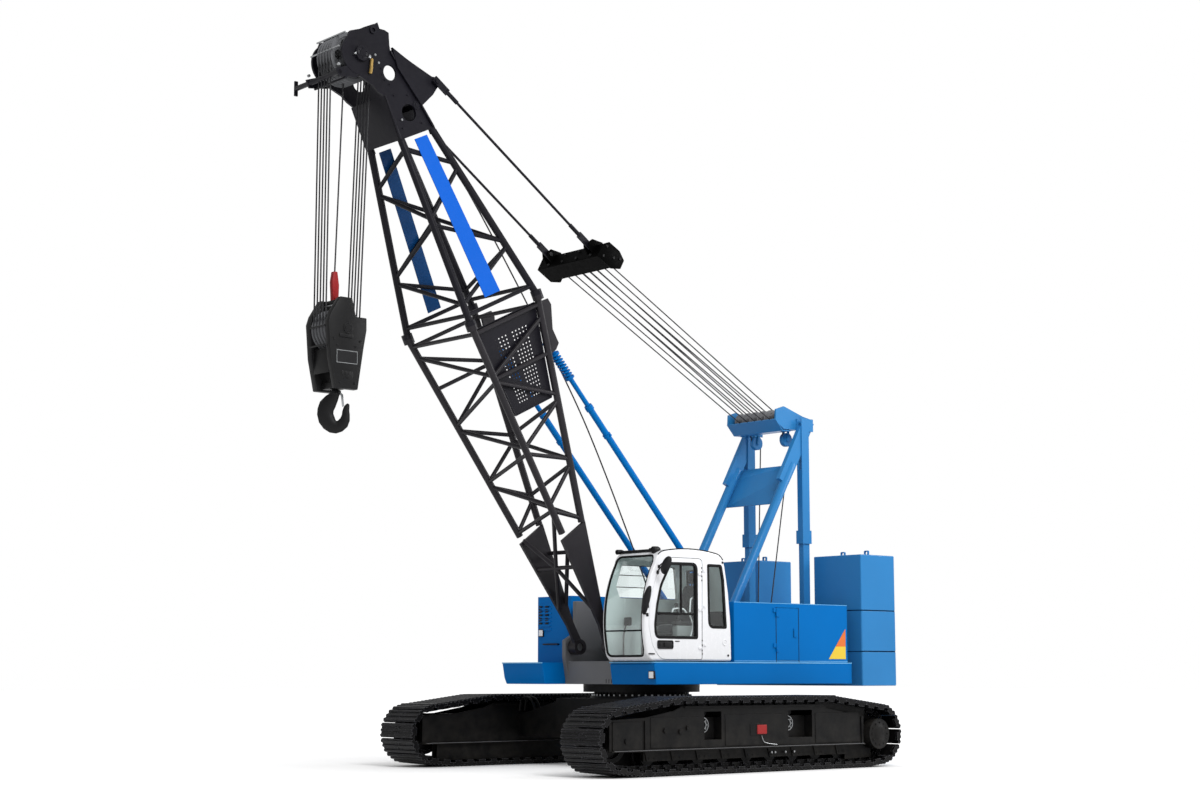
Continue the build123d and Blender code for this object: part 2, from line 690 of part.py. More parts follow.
def make_cab_door_glass():
    with BuildPart() as pane:
        side_plate(DOOR_WINDOW, (CAB_OUTER - 28, CAB_OUTER - 20))
    return pane


def make_cab_seat():
    """Seat on its plinth."""
    floor = CAB_FLOOR + CAB_WALL
    with BuildPart() as seat:
        block((0, 420), (870, 1230), (floor, floor + 330))
        block((-20, 480), (810, 1290), (floor + 330, floor + 460))
        side_plate([(-20, floor + 330), (90, floor + 460), (-40, floor + 1080),
                    (-150, floor + 1080), (-130, floor + 420)], (830, 1270))
    return seat


def make_cab_controls():
    """Side consoles with levers and the front display stand."""
    floor = CAB_FLOOR + CAB_WALL
    with BuildPart() as controls:
        for y in ((670, 790), (1310, 1420)):
            block((60, 620), y, (floor, floor + 520))
            middle = (y[0] + y[1]) / 2
            rod((520, middle, floor + 515), (560, middle, floor + 760), 16)
        block((900, 1010), (680, 800), (floor, floor + 760))
    return controls


def make_cab_mirrors():
    """Two mirrors on tube arms at the front pillar."""
    with BuildPart() as mirrors:
        cross_rod(960, 2900, (CAB_OUTER, CAB_OUTER + 14), 26)
        rod((960, 1514, 2900), (1060, 1640, 2880), 14)
        rod((1060, 1640, 2880), (1060, 1700, 2880), 14)
        with Locations((1060, 1720, 2840)):
            Box(60, 170, 260)
        cross_rod(1235, 2180, (CAB_OUTER, CAB_OUTER + 14), 22)
        rod((1235, 1514, 2180), (1330, 1600, 2300), 14)
        with Locations((1335, 1640, 2330)):
            Box(50, 150, 330)
    return mirrors


keep(make_cab(), "cab")
keep(make_cab_glass(), "cab_glass")
keep(make_cab_door(), "cab_door")
keep(make_cab_door_glass(), "cab_door_glass")
keep(make_cab_seat(), "cab_seat")
keep(make_cab_controls(), "cab_controls")
keep(make_cab_mirrors(), "cab_mirrors")


# ---------------------------------------------------------------- boom: chords and lacing
BASE_START = 1850
BASE_ENDS = (                 # along, half width of the chord lines, back chord, front chord
    (BASE_START, 475, 200, -200),
    (SECTION_JOINT, 741, 650, -650),
)
BACKWARDS = Vector(-math.sin(math.radians(BOOM_ANGLE)), 0, math.cos(math.radians(BOOM_ANGLE)))
TIP_ENDS = (
    (SECTION_JOINT, 741, 650, -650),
    (HEAD_BASE, 365, 195, -380),
)


COLLARS = {True: (0, 80), False: (80, CHORD)}    # radius at each end: base section, tip section
FOOT_Y = 327                  # middle of a cheek at the foot pin
CHEEK = 48                    # thickness of a cheek
CHEEK_TOP = (1880, 1790)      # along the boom: end of a cheek at its back and at its front edge
NODE_GAP = 45                 # from where two lacing bars would meet to each one's end
FOOT_BRACE = {-1: (1330, -150), 1: (1450, 150)}    # front and back cross bar: along, back
FOOT_BRACE_TOP = {1: 2200, -1: 1845}    # where the front brace meets the left and right chord


def chord_point(ends, along, side, face):
    """The chord's centre at a place along a section: side 1 left or -1 right, face 1 back."""
    (a0, y0, back0, front0), (a1, y1, back1, front1) = ends
    share = (along - a0) / (a1 - a0)
    y = y0 + (y1 - y0) * share
    back = back0 + (back1 - back0) * share
    front = front0 + (front1 - front0) * share
    return boom_point(along, side * y, back if face > 0 else front)


def cut_at_chords(ends, corners):
    """Take the chords out of the lacing just made, so that it ends on their skin."""
    for side, face in corners:
        start = chord_point(ends, ends[0][0] - 300, side, face)
        end = chord_point(ends, ends[1][0] + 300, side, face)
        rod(start, end, CHORD, mode=Mode.SUBTRACT)


def foot_cheek(side, mode=Mode.ADD):
    """Solid tapered plate between the chords at the boom's foot."""
    middle = Vector(*boom_point(0, side * FOOT_Y, 0))
    far = Vector(*boom_point(BASE_START, side * BASE_ENDS[0][1], 0))
    plane = Plane(origin=middle, x_dir=far - middle, z_dir=(far - middle).cross(BACKWARDS))
    with BuildSketch(plane.offset(-CHEEK / 2)) as outline:
        with BuildLine():
            Polyline((-60, -70), (-60, 70), (374, 62), (CHEEK_TOP[0], 255), (CHEEK_TOP[1], -255),
                     (374, -62), close=True)
        make_face()
    extrude(outline.sketch, amount=CHEEK, mode=mode)


def add_foot_eye(side):
    """The eye at the boom's foot, which turns on the foot pin."""
    x, z = BOOM_FOOT[0], BOOM_FOOT[2]
    cross_rod(x, z, sorted((side * 300, side * 462)), 112)
    cross_rod(x, z, sorted((side * 290, side * 472)), 60 + FIT, mode=Mode.SUBTRACT)


def lace(ends, stations, chords):
    """Lacing that runs to and fro between two chords, down from one station to the next."""
    for i, (here, there) in enumerate(zip(stations, stations[1:])):
        rod(chord_point(ends, here - NODE_GAP, *chords[i % 2]),
            chord_point(ends, there + NODE_GAP, *chords[(i + 1) % 2]), LACING)


def strut(ends, station, chords):
    """One bar square across a face."""
    rod(chord_point(ends, station, *chords[0]), chord_point(ends, station, *chords[1]), LACING)


def add_backstop_bracket(side):
    """Eye plate on the back chord, with the pin of the backstop's rod."""
    bracket = boom_outline(((4300, 566), (4330, 700), (4400, 790), (4620, 770), (4950, 900),
                            (5050, 880), (5060, 669)))
    side_plate(bracket, sorted((side * (BACKSTOP_Y + 110), side * (BACKSTOP_Y + 138))))
    x, _, z = boom_point(BACKSTOP_PIN[0], 0, BACKSTOP_PIN[1])
    cross_rod(x, z, sorted((side * (BACKSTOP_Y + 58), side * (BACKSTOP_Y + 112))), 44)


def make_side_truss(ends, side, stations, struts, chords):
    """Left or right face of a section: its two chords, their end collars and the lacing."""
    with BuildPart() as truss:
        for face in (1, -1):
            for spot, inward, collar in zip(ends, (1, -1), COLLARS[ends is BASE_ENDS]):
                y, back = spot[1], spot[2 if face > 0 else 3]
                if collar:
                    rod(boom_point(spot[0], side * y, back),
                        boom_point(spot[0] + inward * 70, side * y, back), collar)
            rod(chord_point(ends, ends[0][0] + 30, side, face),
                chord_point(ends, ends[1][0] - 30, side, face), CHORD)
        lace(ends, stations, chords)
        for station in struts:
            strut(ends, station, chords)
        if ends is BASE_ENDS:
            foot_cheek(side)
            add_foot_eye(side)
            add_backstop_bracket(side)
    return truss


def add_foot_braces(face):
    """Cross bar between the foot's cheeks, with braces from its middle."""
    along, back = FOOT_BRACE[face]
    middle = boom_point(along, 0, back)
    rod(boom_point(along, -450, back), boom_point(along, 450, back), LACING)
    for side in (1, -1):
        rod(middle, boom_point(640, side * 378, back / 2), LACING)
        if face < 0:
            rod(middle, chord_point(BASE_ENDS, FOOT_BRACE_TOP[side], side, face), LACING)


def make_cross_truss(ends, face, stations, struts, chords):
    """Front or back face of a section: lacing between the left and the right chord."""
    with BuildPart() as truss:
        lace(ends, stations, chords)
        for station in struts:
            strut(ends, station, chords)
        if ends is BASE_ENDS:
            add_foot_braces(face)
        cut_at_chords(ends, ((1, face), (-1, face)))
        if ends is BASE_ENDS:
            for side in (1, -1):
                foot_cheek(side, mode=Mode.SUBTRACT)
    return truss


# Along each section, from its top down: where the lacing meets the chords in turn.  The left
# face's front chord and the right face's back chord take the first, third and fifth places.
TIP_LACING = (7760, 7265, 6670, 6005, 5430)
BASE_LACING = (4900, 4340, 3700, 3210, 2760, 2290, 1890)
BACK_LACING = (4900, 4215, 3700, 3210, 2760, 2290, 1890)    # clear of the backstops' eyes
TIP_STRUTS = (5320,)
BASE_STRUTS = (5040,)
BASE_SIDE_STRUTS = (5040, 4340)
LEFT_FRONT, LEFT_BACK, RIGHT_FRONT, RIGHT_BACK = (1, -1), (1, 1), (-1, -1), (-1, 1)

for name, side, chords in (("left", 1, (LEFT_FRONT, LEFT_BACK)),
                           ("right", -1, (RIGHT_BACK, RIGHT_FRONT))):
    keep(make_side_truss(BASE_ENDS, side, BASE_LACING, BASE_SIDE_STRUTS, chords[::-1]),
         f"boom_base_{name}")
    keep(make_side_truss(TIP_ENDS, side, TIP_LACING, TIP_STRUTS, chords), f"boom_tip_{name}")
for name, face, chords, lacing in (("front", -1, (LEFT_FRONT, RIGHT_FRONT), BASE_LACING),
                                   ("back", 1, (RIGHT_BACK, LEFT_BACK), BACK_LACING)):
    keep(make_cross_truss(BASE_ENDS, face, lacing, BASE_STRUTS, chords[::-1]),
         f"boom_base_{name}")
    keep(make_cross_truss(TIP_ENDS, face, TIP_LACING, TIP_STRUTS, chords), f"boom_tip_{name}")


# ---------------------------------------------------------------- boom: head and fittings
HEAD_Y = (345, 385)           # the head's side plates
HEAD_OUTLINE = ((HEAD_BASE, -430), (HEAD_BASE, 245), (9043, -35), (9121, -15), (9282, 48),
                (9332, 2), (9375, -77), (9463, -74), (9437, -234), (9472, -562), (9340, -700),
                (8860, -680), (8692, -527), (8586, -478), (8500, -410))
SHEAVE_CHEEK = 302            # the plates are round about the shaft of the sheaves
HEAD_HOLES = ((8767, -172, 108), (8170, -102, 120))
HEAD_SHAFT = 50


def make_boom_head():
    """Two side plates with lightening holes, their cross plates, shafts and pendant lugs."""
    with BuildPart() as head:
        for side in (1, -1):
            width = sorted((side * HEAD_Y[0], side * HEAD_Y[1]))
            side_plate(boom_outline(HEAD_OUTLINE), width)
            cross_rod(SHEAVE_CENTRE[0], SHEAVE_CENTRE[2], width, SHEAVE_CHEEK)
            lug = ((8200, 130), (8290, 380), (8400, 560), (8490, 560), (8530, 470), (8783, 235),
                   (8892, 140), (9080, -10), (8800, -40))
            side_plate(boom_outline(lug), sorted((side * 384, side * 425)))
            for along, back, radius in HEAD_HOLES:
                x, _, z = boom_point(along, 0, back)
                cross_rod(x, z, sorted((side * 300, side * 440)), radius, mode=Mode.SUBTRACT)
            x, _, z = boom_point(POINT_SHEAVES[0], 0, POINT_SHEAVES[1])
            cross_rod(x, z, sorted((side * 180, side * 430)), 105)
            x, _, z = boom_point(PENDANT_PIN[0], 0, PENDANT_PIN[1])
            cross_rod(x, z, sorted((side * 384, side * (LINK_Y[0] - 6))), 34)
        for strip in (((7862, -415), (7862, 230), (7892, 230), (7892, -415)),
                      ((7862, -428), (8500, -408), (8500, -386), (7862, -406)),
                      ((7900, 205), (7900, 230), (8060, 200), (8060, 172)),
                      ((9436, -290), (9436, -110), (9462, -110), (9462, -290))):
            side_plate(boom_outline(strip), (-HEAD_Y[0], HEAD_Y[0]))
        x, _, z = boom_point(POINT_SHEAVES[0], 0, POINT_SHEAVES[1])
        cross_rod(x, z, (-HEAD_Y[0], HEAD_Y[0]), HEAD_SHAFT)
        x, _, z = boom_point(8230, 0, 70)
        cross_rod(x, z, (-HEAD_Y[0], HEAD_Y[0]), 40)
        cross_rod(x, z, (-60, 60), 280)
        x, _, z = boom_point(9000, 0, -960)
        cross_rod(x, z, (-700, HEAD_Y[1]), 36)
        block((x - 25, x + 25), (-725, -700), (z - 105, z + 105))
        for side in (1, -1):
            side_plate(boom_outline(GUARD_EAR), sorted((side * 350, side * 380)))
    return head


def make_sheave_row(x, z, count, spacing, width, rim, bore):
    """Grooveless rope sheaves side by side on one hub."""
    half = spacing * (count - 1) / 2
    with BuildPart() as row:
        cross_rod(x, z, (-half - width / 2 - 8, half + width / 2 + 8), bore + 40)
        for i in range(count):
            y = -half + i * spacing
            cross_rod(x, z, (y - width / 2, y + width / 2), rim)
        cross_rod(x, z, (-half - width, half + width), bore, mode=Mode.SUBTRACT)
    return row


def make_banners():
    """Blank coloured name boards along the tip section, one on each side."""
    shapes = {
        1: ((5450, -475), (5450, -36), (7800, -55), (7800, -315)),
        -1: ((5450, -140), (5450, 108), (7780, 0), (7780, -220)),
    }
    with BuildPart() as boards:
        for side, outline in shapes.items():
            near = Vector(*boom_point(SECTION_JOINT, side * 741, 0))
            far = Vector(*boom_point(HEAD_BASE, side * 365, 0))
            along = far - near
            plane = Plane(origin=near, x_dir=along, z_dir=along.cross(BACKWARDS))
            stretch = along.length / (HEAD_BASE - SECTION_JOINT)
            lift = 36 if plane.z_dir.Y * side > 0 else -48
            with BuildSketch(plane.offset(lift)) as face:
                with BuildLine():
                    Polyline(*[((a - SECTION_JOINT) * stretch, b) for a, b in outline], close=True)
                make_face()
            extrude(face.sketch, amount=12)
    return boards


def make_side_screen():
    """Perforated screen inside the left face of the base section."""
    outline = ((3700, -350), (3760, 380), (5080, 590), (5080, -560))
    near = Vector(*boom_point(BASE_START, 475, 0))
    far = Vector(*boom_point(SECTION_JOINT, 741, 0))
    along = far - near
    plane = Plane(origin=near, x_dir=along, z_dir=along.cross(BACKWARDS))
    lift = -44 if plane.z_dir.Y > 0 else 36
    with BuildPart() as screen:
        with BuildSketch(plane.offset(lift)) as face:
            with BuildLine():
                Polyline(*[(a - BASE_START, b) for a, b in outline], close=True)
            make_face()
        extrude(face.sketch, amount=8)
    return screen


keep(make_boom_head(), "boom_head")
keep(make_sheave_row(SHEAVE_CENTRE[0], SHEAVE_CENTRE[2], 5, 72, 50, SHEAVE_RIM, HEAD_SHAFT + FIT),
     "head_sheaves")
keep(make_banners(), "boom_boards")
keep(make_side_screen(), "boom_screen")


# ---------------------------------------------------------------- luffing tackle
BRIDLE_MIDDLE = line_point(LUFF_NEST, LUFF_ANGLE, 4340)
BRIDLE_SHAFT = line_point(BRIDLE_MIDDLE, LUFF_ANGLE, -60)
BRIDLE_SHEAVE = 128
BRIDLE_HALF = 700
BRIDLE_PIN = (1452, 7610)
BOOM_PIN = boom_point(PENDANT_PIN[0], 0, PENDANT_PIN[1])


def make_bridle():
    """Floating sheave box between the luffing ropes and the pendants."""
    def outline(points):
        spots = [line_point(BRIDLE_MIDDLE, LUFF_ANGLE, along, 0, lift) for along, lift in points]
        return [(x, z) for x, _, z in spots]

    with BuildPart() as bridle:
        for side in (1, -1):
            cheek = outline(((-250, -60), (-250, 90), (-110, 165), (120, 165), (205, 70),
                             (205, -150), (-100, -160)))
            side_plate(cheek, sorted((side * (BRIDLE_HALF - 30), side * BRIDLE_HALF)))
            lug = outline(((100, 100), (120, 180), (310, 110), (345, 35), (300, -30), (180, -80)))
            side_plate(lug, sorted((side * 405, side * 432)))
            cross_rod(BRIDLE_PIN[0], BRIDLE_PIN[1], sorted((side * 395, side * LINK_Y[0])), 30)
        for plate in (((-100, 150), (-100, 165), (115, 165), (115, 150)),
                      ((-90, -158), (-90, -145), (200, -145), (200, -150)),
                      ((190, -145), (190, 66), (203, 66), (203, -145))):
            side_plate(outline(plate), (-BRIDLE_HALF + 30, BRIDLE_HALF - 30))
        shaft_x, _, shaft_z = BRIDLE_SHAFT
        cross_rod(shaft_x, shaft_z, (-BRIDLE_HALF + 30, BRIDLE_HALF - 30), 40)
        for i in range(NEST_SHEAVES - 1):
            y = -NEST_SPACING * 2 + i * NEST_SPACING
            cross_rod(shaft_x, shaft_z, (y - 24, y + 24), BRIDLE_SHEAVE)
    return bridle


def make_pendants():
    """The two pendant ropes with their sockets and link plates."""
    run = math.hypot(BOOM_PIN[0] - BRIDLE_PIN[0], BOOM_PIN[2] - BRIDLE_PIN[1])
    rise = math.degrees(math.atan2(BOOM_PIN[2] - BRIDLE_PIN[1], BOOM_PIN[0] - BRIDLE_PIN[0]))
    start = (BRIDLE_PIN[0], 0, BRIDLE_PIN[1])
    middle = (LINK_Y[0] + LINK_Y[1]) / 2
    with BuildPart() as pendants:
        for side in (1, -1):
            y = side * middle
            rod(line_point(start, rise, 330, y), line_point(start, rise, run - 330, y), 19)
            for a, b in ((200, 430), (run - 430, run - 200)):
                rod(line_point(start, rise, a, y), line_point(start, rise, b, y), 30)
            width = sorted((side * LINK_Y[0], side * LINK_Y[1]))
            for a, b in ((-55, 230), (run - 230, run + 55)):
                link = [line_point(start, rise, along, 0, lift)
                        for along, lift in ((a, -50), (a, 50), (b, 50), (b, -50))]
                side_plate([(p[0], p[2]) for p in link], width)
            boss = sorted((side * LINK_Y[1], side * (LINK_Y[1] + 20)))
            for x, z in ((BRIDLE_PIN[0], BRIDLE_PIN[1]), (BOOM_PIN[0], BOOM_PIN[2])):
                cross_rod(x, z, boss, 38)
    return pendants


FALL_RADIUS = 10
FALL_LENGTH = 2100
NEST_FALLS = (-NEST_SPACING * 2.5, (134,), 1)                # first y, lifts, way they run
BRIDLE_FALLS = (-NEST_SPACING * 2, (113, -113), -1)


def make_falls(start, sheave_radius, row):
    """Straight lengths of the luffing rope, from one row of sheaves towards the other."""
    first_y, lifts, way = row
    with BuildPart() as falls:
        for i in range(NEST_SHEAVES - 1):
            y = first_y + i * NEST_SPACING
            for lift in lifts:
                rod(line_point(start, LUFF_ANGLE, 0, y, lift),
                    line_point(start, LUFF_ANGLE, way * FALL_LENGTH, y, lift), FALL_RADIUS)
        cross_rod(start[0], start[2], (-BRIDLE_HALF, BRIDLE_HALF), sheave_radius,
                  mode=Mode.SUBTRACT)
    return falls


keep(make_bridle(), "bridle")
keep(make_pendants(), "pendants")
keep(make_falls(LUFF_NEST, NEST_RADIUS, NEST_FALLS), "luffing_falls_nest")
keep(make_falls(BRIDLE_SHAFT, BRIDLE_SHEAVE, BRIDLE_FALLS), "luffing_falls_bridle")


# ---------------------------------------------------------------- backstops
BACKSTOP_EYE = boom_point(BACKSTOP_PIN[0], 0, BACKSTOP_PIN[1])
BACKSTOP_RUN = math.hypot(BACKSTOP_EYE[0] - BACKSTOP_FOOT[0], BACKSTOP_EYE[2] - BACKSTOP_FOOT[2])
BACKSTOP_RISE = math.degrees(
    math.atan2(BACKSTOP_EYE[2] - BACKSTOP_FOOT[2], BACKSTOP_EYE[0] - BACKSTOP_FOOT[0]))
TUBE_LENGTH = 3900
TUBE_RADIUS = 48
ROD_RADIUS = 36


def backstop_point(along, side):
    return line_point(BACKSTOP_FOOT, BACKSTOP_RISE, along, side * BACKSTOP_Y)


def make_backstop_tubes():
    """Outer tubes, open at their upper end, with their foot eyes and stop collars."""
    with BuildPart() as tubes:
        for side in (1, -1):
            rod(backstop_point(0, side), backstop_point(TUBE_LENGTH, side), TUBE_RADIUS)
            rod(backstop_point(TUBE_LENGTH - 60, side), backstop_point(TUBE_LENGTH, side), 62)
            y = side * BACKSTOP_Y
            cross_rod(BACKSTOP_FOOT[0], BACKSTOP_FOOT[2], (y - 45, y + 45), 75)
            rod(backstop_point(600, side), backstop_point(TUBE_LENGTH + 10, side), ROD_RADIUS + 1,
                mode=Mode.SUBTRACT)
    return tubes


def make_backstop_rods():
    """Inner rods with the coil springs and the eyes at the boom."""
    with BuildPart() as rods:
        for side in (1, -1):
            rod(backstop_point(2750, side), backstop_point(BACKSTOP_RUN, side), ROD_RADIUS)
            y = side * BACKSTOP_Y
            cross_rod(BACKSTOP_EYE[0], BACKSTOP_EYE[2], (y - 40, y + 48), 62)
            for coil in range(9):
                low = BACKSTOP_RUN - 612 + coil * 48
                rod(backstop_point(low, side), backstop_point(low + 28, side), 72)
    return rods


keep(make_backstop_tubes(), "backstop_tubes")
keep(make_backstop_rods(), "backstop_rods")


# ---------------------------------------------------------------- hook block
BLOCK_X = SHEAVE_CENTRE[0] + 60
BLOCK_SHEAVE_Z = 5930
BLOCK_SHEAVE = 290            # rim radius of its sheaves
CHEEK_Y = (178, 285)          # the cheeks are cast weights
CHEEK_OUTLINE = ((-170, 5110), (-256, 5677), (-301, 5933), (-298, 6100), (-125, 6100),
                 (-60, 6350), (130, 6350), (275, 6115), (311, 6000), (271, 5538), (175, 5110))
HOOK_YAW = 139                # the hook's own plane, turned about Z
HOOK_HALF = 48
HOOK_BACK = ((-66, 5080), (-146, 5026), (-223, 4930), (-241, 4823), (-185, 4648), (-2, 4537),
             (145, 4599), (205, 4731), (193, 4831), (205, 4931), (180, 4947))
HOOK_THROAT = ((132, 4906), (96, 4839), (81, 4764), (40, 4711), (-6, 4764), (-19, 4823),
               (-8, 4889), (52, 4997), (66, 5080))
LATCH = ((60, 5076), (104, 5068), (122, 4906), (92, 4893))


def make_hook_block():
    """Two cheek weights with pin covers and blank plates, joined by the crosshead."""
    with BuildPart() as blocks:
        for side in (1, -1):
            side_plate([(BLOCK_X + x, z) for x, z in CHEEK_OUTLINE],
                       sorted((side * CHEEK_Y[0], side * CHEEK_Y[1])))
            cap = sorted((side * CHEEK_Y[1], side * (CHEEK_Y[1] + 22)))
            cross_rod(BLOCK_X, BLOCK_SHEAVE_Z, cap, 75)
            cross_rod(BLOCK_X, 5290, cap, 60)
            block((BLOCK_X - 75, BLOCK_X + 140), cap, (5802, 5850))
            block((BLOCK_X - 150, BLOCK_X + 180), sorted((side * CHEEK_Y[1], side * (CHEEK_Y[1] + 8))),
                  (5450, 5627))
        block((BLOCK_X - 110, BLOCK_X + 110), (-CHEEK_Y[0], CHEEK_Y[0]), (5130, 5225))
        rod((BLOCK_X, 0, 5120), (BLOCK_X, 0, 5240), 45 + FIT, mode=Mode.SUBTRACT)
        cross_rod(BLOCK_X, BLOCK_SHEAVE_Z, (-CHEEK_Y[0], CHEEK_Y[0]), 70)
        for i in range(5):
            y = -144 + i * 72
            cross_rod(BLOCK_X, BLOCK_SHEAVE_Z, (y - 25, y + 25), BLOCK_SHEAVE)
        block((BLOCK_X + 20, BLOCK_X + 100), (-CHEEK_Y[0], CHEEK_Y[0]), (6285, 6335))
    return blocks


def make_hook():
    """Single hook with its shank and nut, and the safety latch."""
    turn = math.radians(HOOK_YAW)
    plane = Plane(origin=(BLOCK_X, 0, 0), x_dir=(math.cos(turn), math.sin(turn), 0),
                  z_dir=(math.sin(turn), -math.cos(turn), 0))
    with BuildPart() as hook:
        with BuildSketch(plane.offset(-HOOK_HALF)) as bowl:
            with BuildLine():
                back = Spline(*HOOK_BACK)
                throat = Spline(*HOOK_THROAT)
                Line(back @ 1, throat @ 0)
                Line(throat @ 1, back @ 0)
            make_face()
        extrude(bowl.sketch, amount=2 * HOOK_HALF)
        with BuildSketch(plane.offset(-12)) as latch:
            with BuildLine():
                Polyline(*LATCH, close=True)
            make_face()
        extrude(latch.sketch, amount=24)
        rod((BLOCK_X, 0, 5060), (BLOCK_X, 0, 5285), 45)
        rod((BLOCK_X, 0, 5060), (BLOCK_X, 0, 5118), 78)
        rod((BLOCK_X, 0, 5231), (BLOCK_X, 0, 5285), 58)
    return hook


keep(make_hook_block(), "hook_block")
keep(make_hook(), "hook")
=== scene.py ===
# %% [markdown]
# A crawler crane, dressed for its picture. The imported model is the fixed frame: its pieces are
# already at their real size and place, in metres, with +X forward and +Z up. Everything below
# adds finishes and finer pieces around them and never moves one of them.

# %% Load the frame
import cmath
import json
import math

import bmesh
import bpy
from mathutils import Matrix, Vector


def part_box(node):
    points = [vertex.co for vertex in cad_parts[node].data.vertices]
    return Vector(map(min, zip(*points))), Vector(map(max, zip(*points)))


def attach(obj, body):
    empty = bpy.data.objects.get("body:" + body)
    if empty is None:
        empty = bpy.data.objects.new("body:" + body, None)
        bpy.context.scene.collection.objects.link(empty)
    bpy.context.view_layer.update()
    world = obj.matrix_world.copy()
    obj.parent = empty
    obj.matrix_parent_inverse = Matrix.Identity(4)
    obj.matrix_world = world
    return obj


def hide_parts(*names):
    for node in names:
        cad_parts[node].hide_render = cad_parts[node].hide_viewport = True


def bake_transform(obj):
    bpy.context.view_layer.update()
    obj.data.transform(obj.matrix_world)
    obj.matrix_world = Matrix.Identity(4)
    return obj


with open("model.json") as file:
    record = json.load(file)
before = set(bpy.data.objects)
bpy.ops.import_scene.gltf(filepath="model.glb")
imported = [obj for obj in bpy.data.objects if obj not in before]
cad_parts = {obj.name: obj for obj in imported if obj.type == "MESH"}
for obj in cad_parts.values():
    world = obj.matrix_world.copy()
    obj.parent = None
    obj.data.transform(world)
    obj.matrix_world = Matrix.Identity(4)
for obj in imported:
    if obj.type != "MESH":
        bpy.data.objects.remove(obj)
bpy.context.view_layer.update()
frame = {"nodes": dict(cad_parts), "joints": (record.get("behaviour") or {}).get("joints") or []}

NODES = frame["nodes"]
JOINTS = {joint["name"]: joint for joint in frame["joints"]}

# %% [markdown]
# Three places carry everything on this machine: the swing axis, the foot pin of the boom and
# the shaft of the head sheaves. Reading them from the joints ties each later piece to the
# frame, so that nothing has to be fitted by eye. Two helpers turn "so far along the boom, so
# far to its back" into a point, which is how a fitter would measure on the real one.

# %% Reference points
SWING_X = JOINTS["swing"]["pos_m"][0]
BOOM_FOOT = Vector(JOINTS["luff"]["pos_m"])
HEAD_SHAFT = Vector(JOINTS["head_sheave_turn"]["pos_m"])
BOOM_ANGLE = math.radians(63.7)
ALONG = Vector((math.cos(BOOM_ANGLE), 0, math.sin(BOOM_ANGLE)))
BACK = Vector((-math.sin(BOOM_ANGLE), 0, math.cos(BOOM_ANGLE)))
FORWARD = Vector((1, 0, 0))
LEFT = Vector((0, 1, 0))
UP = Vector((0, 0, 1))


def at(x, y, z):
    """A point of the machine, measured from its swing axis."""
    return Vector((x + SWING_X, y, z))


def boom(along, y, back):
    """A point of the boom, measured from its foot pin."""
    return BOOM_FOOT + along * ALONG + y * LEFT + back * BACK


print("head shaft along the boom:", round((HEAD_SHAFT - BOOM_FOOT).dot(ALONG), 3))

# %% [markdown]
# The camera stands low, a long way off the left front corner, and looks slightly upwards, as
# one does to get a whole crane into a picture. A long lens from far away keeps the verticals
# nearly parallel. It is turned by its three angles, so no shift is needed.

# %% Camera
camera_data = bpy.data.cameras.new("camera")
camera_data.lens = 60.09
camera_data.sensor_width = 36
camera = bpy.data.objects.new("camera", camera_data)
camera.location = at(20.296, 22.363, 1.367)
camera.rotation_euler = (math.radians(90 + 7.766), 0, math.radians(-131.052 - 90))
bpy.context.scene.collection.objects.link(camera)
bpy.context.scene.camera = camera
print("camera to swing axis:", round((camera.location - at(0, 0, 1)).length, 2), "m")

# %% [markdown]
# A machine this size is shown on a pale floor under a bright overcast. The sky gives most of
# the light, and two large soft lamps model the form: a key high on the camera's left and a
# weaker one from behind its right. The sky is plain white to the camera, also through glass,
# and dimmer as a source of light and in reflections, so that dark paint stays dark.

# %% Sky, floor and lamps
scene = bpy.context.scene
scene.view_settings.view_transform = "Standard"
SKY_LIGHT = 0.62

world = bpy.data.worlds.new("sky")
scene.world = world
world.use_nodes = True
sky = world.node_tree
sky.nodes.clear()
path = sky.nodes.new("ShaderNodeLightPath")
seen = sky.nodes.new("ShaderNodeMath")
seen.operation = "MAXIMUM"
strength = sky.nodes.new("ShaderNodeMapRange")
strength.inputs["To Min"].default_value = SKY_LIGHT
strength.inputs["To Max"].default_value = 1.0
background = sky.nodes.new("ShaderNodeBackground")
background.inputs["Color"].default_value = (1, 1, 1, 1)
sky_out = sky.nodes.new("ShaderNodeOutputWorld")
sky.links.new(path.outputs["Is Camera Ray"], seen.inputs[0])
sky.links.new(path.outputs["Is Transmission Ray"], seen.inputs[1])
sky.links.new(seen.outputs[0], strength.inputs["Value"])
sky.links.new(strength.outputs["Result"], background.inputs["Strength"])
sky.links.new(background.outputs[0], sky_out.inputs["Surface"])


def lamp(name, place, aim, size, power):
    """A large soft area lamp."""
    data = bpy.data.lights.new(name, "AREA")
    data.shape = "DISK"
    data.size = size
    data.energy = power
    light = bpy.data.objects.new(name, data)
    light.location = place
    light.rotation_euler = (aim - place).to_track_quat("-Z", "Y").to_euler()
    scene.collection.objects.link(light)
    return light


lamp("key", at(6, 22, 20), at(0, 0, 4), 12, 4700)
lamp("rim", at(-16, 10, 12), at(-1, 0, 3), 9, 1500)

FLOOR_REACH = 120
FLOOR_GLOW = (0.20, 0.62)
floor_mesh = bmesh.new()
bmesh.ops.create_grid(floor_mesh, x_segments=2, y_segments=2, size=FLOOR_REACH)
floor_data = bpy.data.meshes.new("floor")
floor_mesh.to_mesh(floor_data)
floor_mesh.free()
floor = bpy.data.objects.new("floor", floor_data)
scene.collection.objects.link(floor)
